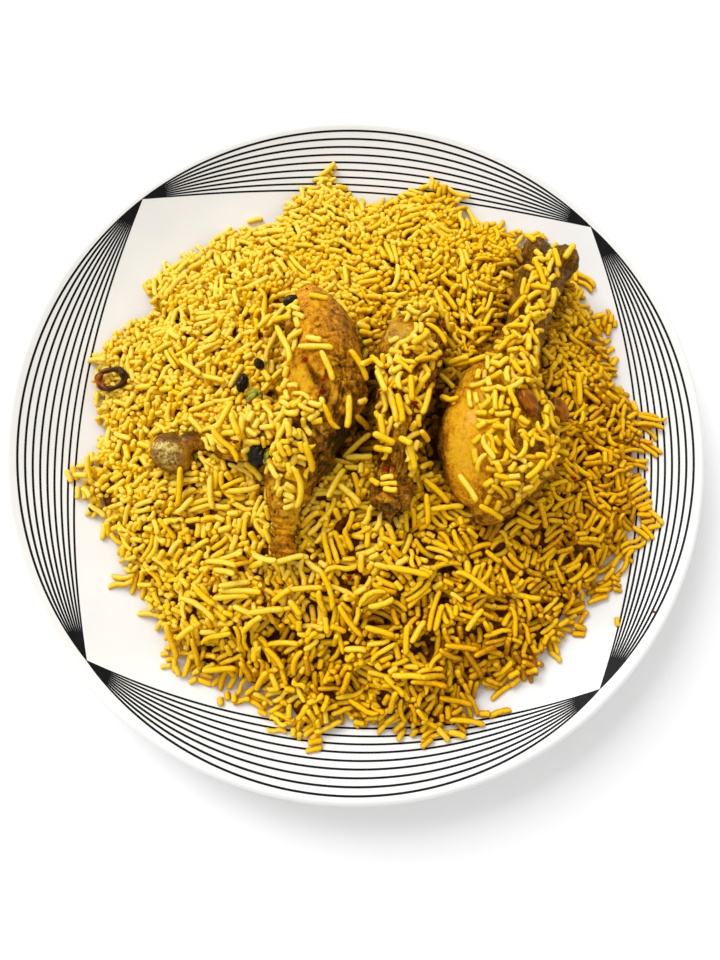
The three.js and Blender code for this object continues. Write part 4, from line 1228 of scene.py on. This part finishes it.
crest = pile.copy()
for axis, step in itertools.product((0, 1), range(1, 9)):
    crest = np.maximum(crest, np.maximum(np.roll(pile, step, axis), np.roll(pile, -step, axis)))
for kind, (name, _, _, shortest, longest, thick, *bends) in enumerate(KINDS):
    some = rows[rows[:, 0] == kind]
    typical = (shortest + longest) / 2
    lying = np.abs(some[:, 5]) < 0.9
    roll = np.where(draw.random(len(some)) < 0.5, 0, math.pi) + draw.normal(0, 0.35, len(some))
    roll = np.where(lying, roll, draw.uniform(0, 2 * math.pi, len(some)))
    roll = np.where(some[:, 9] == 0, roll, np.where(some[:, 9] > 0, 0, math.pi))
    depth = at_cell(crest, some[:, 1], some[:, 2]) - some[:, 3] - 2
    nearness = 1 - at_cell(far, some[:, 1], some[:, 2])
    # Painted light: grains are paler towards the upper left, where the window's light falls, and in a
    # patch at the front, on top of a real shift of spice across the heap.
    pale_and_lit = 0.5 + (0.5 * some[:, 2] - 0.86 * some[:, 1]) / 180
    pale_and_lit = np.clip(pale_and_lit + 0.25 * spot(some[:, 1:3], -5, -45, 50, 20), 0, 1)
    # clump: the lumps of the heap. Grains on their tops are painted paler and those between them
    # browner, as light and shade.
    clump = at_cell(lumps, some[:, 1], some[:, 2])
    on_chicken = some[:, 8] < 0
    # The stain is real sauce, varying across the heap, and painted shade: heavier at the near side and
    # where a grain lies deep in a hollow or between lumps, and lighter towards the lit upper left.
    sauce_and_shade = 0.2 * np.abs(some[:, 8]) * nearness - 0.16
    sauce_and_shade += (0.08 + 0.04 * nearness) * (1 - 0.6 * pale_and_lit) * depth
    sauce_and_shade += draw.normal(0, 0.06, len(some)) + 0.02 - 0.35 * pale_and_lit - 0.08 * clump
    tint = draw.normal(0.26, 0.11, len(some)) + 0.62 * pale_and_lit + 0.2 * on_chicken + 0.1 * clump
    made = set_out_grains(
        "rice_" + name,
        grain_mesh("grain", typical, thick, *bends),
        some[:, 1:4],
        np.stack([roll, -some[:, 5], some[:, 4]], 1),
        np.stack([some[:, 6] / typical, some[:, 7] / thick, some[:, 7] / thick], 1),
        tint=np.clip(tint, 0, 1),
        stain=np.clip(sauce_and_shade, 0, 0.85),
    )
    piece("rice_" + name, made, rice)

# The small things cooked in with the rice. Each is a whole spice or fruit, swollen and then shrunk in
# the pot, so its skin is drawn into folds along its length. Each row gives the node, slot, middle,
# half sizes, turn in degrees, depth of the folds, and how much the ends are drawn in.
MORSELS = [
    ["raisin_1", "raisin", 57.4, 3, 53.6, 3.2, 5.6, 2.7, 24, 0.4, 0],
    ["raisin_2", "raisin", 74.3, 6.2, 33.4, 3.6, 5.2, 3, 20, 0.4, 0],
    ["black_cardamom_1", "black_spice", -34.2, -13.4, 46, 4.4, 5.4, 3.6, -38, 1.2, 0.45],
    ["black_cardamom_2", "black_spice", -42.3, 14.3, 38.2, 2.6, 4, 2.6, -10, 0.7, 0.3],
    ["clove_1", "black_spice", -36.4, 21.4, 38.2, 1.9, 2.6, 1.8, 35, 0.5, 0.2],
    ["clove_2", "black_spice", -24.9, 42.8, 45.6, 3, 2, 1.8, 30, 0.4, 0],
    ["peppercorn", "black_spice", -102.4, -28.2, 12, 1.8, 1.8, 1.8, 0, 0.3, 0],
    ["green_cardamom", "green_spice", -37.6, 8.2, 39.6, 3, 3.8, 2.3, -50, 0.5, 0.35],
    ["", "green_spice", -31.4, -14.6, 46.8, 1.8, 3.2, 2.2, -20, 0.3, 0.3],
]


def skin_of(name, stops, roughness, coat):
    """A finish whose colour follows the folds of a skin, painted dark in the creases as shade."""
    made, tree, place = finish_of(name)
    fold = add(tree, "ShaderNodeAttribute", attribute_name="fold").outputs["Fac"]
    fine = add(tree, "ShaderNodeTexNoise", {"Vector": place, "Scale": 900, "Detail": 4})
    level = add(tree, "ShaderNodeMath", {0: fine, 1: 0.4, 2: fold}, operation="MULTIPLY_ADD")
    colour = add(tree, "ShaderNodeValToRGB", {"Fac": level}, stops=stops)
    bump = add(tree, "ShaderNodeBump", {"Height": fine, "Strength": 0.5, "Distance": 0.0003})
    shader = add(tree, "ShaderNodeBsdfPrincipled", {
        "Base Color": colour,
        "Roughness": roughness,
        "IOR": 1.3,
        "Specular Tint": linear("#ffdfae"),
        "Coat Weight": coat,
        "Coat Roughness": 0.07,
        "Normal": bump,
    })
    add(tree, "ShaderNodeOutputMaterial", {"Surface": shader})
    return made


# A raisin's amber skin, swollen and glossy; black pods, nearly charred and oily; and a green pod
# gone olive in the pot. Each is painted darker in its creases, as shade.
AMBER = [(0.2, "#743a03"), (0.7, "#8a4a04"), (1.0, "#a45e08")]
CHARRED = [(0.3, "#040302"), (0.8, "#0e0b08"), (1.0, "#1c1711")]
OLIVE = [(0.2, "#3c3a06"), (0.7, "#7c7a16"), (1.0, "#a8a33a")]
SKINS = {
    "raisin": skin_of("swollen_raisin", AMBER, 0.22, 0.05),
    "black_spice": skin_of("blackened_pod", CHARRED, 0.2, 0.12),
    "green_spice": skin_of("olive_pod", OLIVE, 0.4, 0.1),
}


def shrivelled(middle, half, turn, depth, taper, seed, sides=40, rings=28):
    """Points, faces and fold values of a ball drawn into folds along Y, tapered to its ends."""
    unit, faces = ball((0, 0, 0), (1, 1, 1), 0, sides, rings)
    stretched = unit * (2.6, 1.0, 2.6)
    fold = 1 - 1.6 * np.abs(clouds(stretched, 0.8, seed)) + 0.25 * clouds(unit, 0.35, seed + 1)
    fold = np.clip(fold, 0, 1)
    points = unit * half * (1 - depth / min(half) * (1 - fold)[:, None] * 0.8)
    points[:, (0, 2)] *= 1 - taper * unit[:, 1:2] ** 2
    return spun(points, turn) + middle, faces, fold


for seed, (name, slot, x, y, z, rx, ry, rz, turn, depth, taper) in enumerate(MORSELS):
    points, faces, fold = shrivelled((x, y, z), (rx, ry, rz), turn, depth, taper, seed + 60)
    made = with_values(mesh_of(name, points, faces), fold=fold)
    piece((name or "cardamom_seeds") + "_skin", made, SKINS[slot], [name] if name else [])

# The fried onion: a strip curled to a ring, dried and burnt nearly black, red-brown on its left half.
CURL_AT = (-95.4, 21, 20.8)
CURL_LONG = 5.8
CURL_WIDE = 4
CURL_THICK = 1.3
CURL_TILT = 0.3
CURL_TWIST = 0.5
CURL_STEPS = 72
CURL_SIDES = 12

points, faces, fold = [], [], []
count = CURL_STEPS * CURL_SIDES
for i, k in itertools.product(range(CURL_STEPS), range(CURL_SIDES)):
    turn, round_it = 2 * math.pi * i / CURL_STEPS, 2 * math.pi * k / CURL_SIDES
    strand = CURL_THICK * (1 + 0.25 * math.sin(2 * turn + 1) + 0.12 * math.sin(7 * turn))
    out = strand * math.cos(round_it)
    x = (CURL_LONG + out) * math.cos(turn)
    y = (CURL_WIDE + out) * math.sin(turn)
    z = strand * 0.9 * math.sin(round_it) + CURL_TWIST * math.sin(3 * turn)
    tipped_x = x * math.cos(CURL_TILT) - z * math.sin(CURL_TILT)
    tipped_z = x * math.sin(CURL_TILT) + z * math.cos(CURL_TILT)
    points.append((tipped_x + CURL_AT[0], y + CURL_AT[1], tipped_z + CURL_AT[2]))
    fold.append(0.3 + 0.45 * max(0, -math.cos(turn)) + 0.2 * math.sin(3 * round_it + 5 * turn))
    a, b = i * CURL_SIDES + k, i * CURL_SIDES + (k + 1) % CURL_SIDES
    faces.append((a, b, (b + CURL_SIDES) % count, (a + CURL_SIDES) % count))
BURNT = [(0.2, "#120602"), (0.6, "#3a1604"), (0.9, "#7a3206"), (1.0, "#a8580c")]
onion = skin_of("burnt_onion", BURNT, 0.35, 0.06)
curl = with_values(mesh_of("fried_onion_curl", points, faces), fold=np.clip(fold, 0, 1))
piece("fried_onion_curl", curl, onion, ["onion_curl"])

# Grains that fell beside the heap and lie on the border of the plate.
STRAYS = [
    ["loose_grain_1", 97.9, -71.4, 75, 3.6],
    ["loose_grain_2", 51.6, -95.1, 12, 6.6],
    ["loose_grain_3", 74.6, -84.2, -50, 6],
    ["loose_grain_4", 115.4, -31, -58, 9],
]
for name, x, y, heading, length in STRAYS:
    thick = 2.1
    a = math.radians(heading)
    low = float(plate_top(math.hypot(x - length / 2 * math.cos(a), y - length / 2 * math.sin(a))))
    high = float(plate_top(math.hypot(x + length / 2 * math.cos(a), y + length / 2 * math.sin(a))))
    made = set_out_grains(
        name,
        grain_mesh("grain", length, thick, 0.5, 0.2, 0),
        [(x, y, (low + high) / 2 + thick / 2)],
        [(0, -math.atan2(high - low, length), a)],
        [(1, 1, 1)],
        tint=[0.5],
        stain=[0.1],
    )
    piece(name + "_shown", made, rice, [name])

# Crushed red chilli: thin torn flakes, stuck to the rice and the chicken.
FLAKES = [
    [-18.8, 17.9, 2.6], [-12.6, 10.2, 2.2], [-12.9, 7.2, 1.8], [-3.1, -55.4, 2.6],
    [-0.3, -54.3, 1.8], [-39.9, 2.5, 2.6], [-37.9, 3.8, 1.6], [-35.6, 19.4, 1.6], [30.5, 35.3, 2],
    [44.6, 29.7, 1.4], [80.1, -18.7, 2.4], [9.4, -18.7, 2.4], [11.4, -18.2, 2], [18.9, 2.5, 2.8],
    [20, 1.2, 2.2], [64.8, -85.1, 1.2], [63.7, -7.3, 1.6], [-41.6, -11.3, 2.2], [-45.1, 16.9, 1.4],
    [-19, 47.4, 1], [13, -92.7, 1.2], [-79.9, 55.4, 1.2], [-60.4, -40.2, 1.4], [36.4, -40.6, 1.2],
    [110.4, -67.7, 1.4],
]
FLAKE_THICK = 0.35
FLAKE_CORNERS = 9
points, faces = [], []
for k, (x, y, wide) in enumerate(FLAKES):
    start = len(points)
    z = float(at_cell(pile, x, y)) + 0.25
    lean = draw.uniform(-0.4, 0.4, 2)
    rim = wide / 2 * draw.uniform(0.55, 1.15, FLAKE_CORNERS)
    for level in (0, FLAKE_THICK):
        for c in range(FLAKE_CORNERS):
            a = 2 * math.pi * c / FLAKE_CORNERS
            dx, dy = rim[c] * math.cos(a), 0.7 * rim[c] * math.sin(a)
            points.append((x + dx, y + dy, z + level + lean[0] * dx + lean[1] * dy))
    faces.append(tuple(start + c for c in reversed(range(FLAKE_CORNERS))))
    faces.append(tuple(start + FLAKE_CORNERS + c for c in range(FLAKE_CORNERS)))
    for c in range(FLAKE_CORNERS):
        a, b = start + c, start + (c + 1) % FLAKE_CORNERS
        faces.append((a, b, b + FLAKE_CORNERS, a + FLAKE_CORNERS))
chilli, tree, place = finish_of("dried_red_chilli")
patch = add(tree, "ShaderNodeTexNoise", {"Vector": place, "Scale": 900, "Detail": 3})
red = add(tree, "ShaderNodeValToRGB", {"Fac": patch}, stops=[(0.35, "#6e0c01"), (0.65, "#b62204")])
shader = add(
    tree, "ShaderNodeBsdfPrincipled",
    {"Base Color": red, "Roughness": 0.3, "IOR": 1.3, "Specular Tint": linear("#ffb070")},
)
add(tree, "ShaderNodeOutputMaterial", {"Surface": shader})
piece("chilli_flakes", mesh_of("chilli_flakes", points, faces), chilli)

# The floor, the light of a bright window at the upper left, and the camera straight above.
STAGE = 3.0
BELOW = 0.0002
stage_mesh = bpy.data.meshes.new("table")
corners = [(-STAGE, -STAGE), (STAGE, -STAGE), (STAGE, STAGE), (-STAGE, STAGE)]
stage_mesh.from_pydata([(x, y, -BELOW) for x, y in corners], [], [(0, 1, 2, 3)])
table, tree, _ = finish_of("white_table")
shader = add(tree, "ShaderNodeBsdfPrincipled", {"Base Color": linear("#fcfcfc"), "Roughness": 0.9})
add(tree, "ShaderNodeOutputMaterial", {"Surface": shader})
stage_mesh.materials.append(table)
floor_piece = bpy.data.objects.new("table", stage_mesh)
bpy.context.scene.collection.objects.link(floor_piece)

world = bpy.data.worlds.new("studio")
world.use_nodes = True
world.node_tree.nodes.clear()
sky = add(world.node_tree, "ShaderNodeBackground", {"Color": linear("#ffffff"), "Strength": 0.74})
add(world.node_tree, "ShaderNodeOutputWorld", {"Surface": sky})
bpy.context.scene.world = world

WINDOW_AT = Vector((-1.3, 1.7, 1.85))
lamp = bpy.data.lights.new("window", "AREA")
lamp.size = 1.5
lamp.energy = 56
window = bpy.data.objects.new("window", lamp)
window.location = WINDOW_AT
window.rotation_euler = (-WINDOW_AT).to_track_quat("-Z", "Y").to_euler()
bpy.context.scene.collection.objects.link(window)

# The camera looks down from a little on the near side, turned a degree or so.
CAMERA_AT = (-5.4, -63.4, 275.6)
TILT = math.radians(-10.03)
ROLL = math.radians(1.4)
FOCAL_PX = 680
LONG_SIDE_PX = 960
SENSOR = 36
lens = bpy.data.cameras.new("camera")
lens.sensor_fit = "AUTO"
lens.sensor_width = SENSOR
lens.lens = FOCAL_PX * SENSOR / LONG_SIDE_PX
lens.clip_start = 0.01
lens.clip_end = 20
camera = bpy.data.objects.new("camera", lens)
c, s = math.cos(TILT), math.sin(TILT)
tilt = np.array([[1, 0, 0], [0, c, -s], [0, s, c]])
c, s = math.cos(ROLL), math.sin(ROLL)
roll = np.array([[c, 0, s], [0, 1, 0], [-s, 0, c]])
pose = np.eye(4)
pose[:3, :3] = (tilt @ roll).T
pose[:3, 3] = np.array(CAMERA_AT) * MM
camera.matrix_world = Matrix(pose.tolist())
bpy.context.scene.collection.objects.link(camera)
bpy.context.scene.camera = camera
bpy.context.scene.view_settings.view_transform = "Standard"
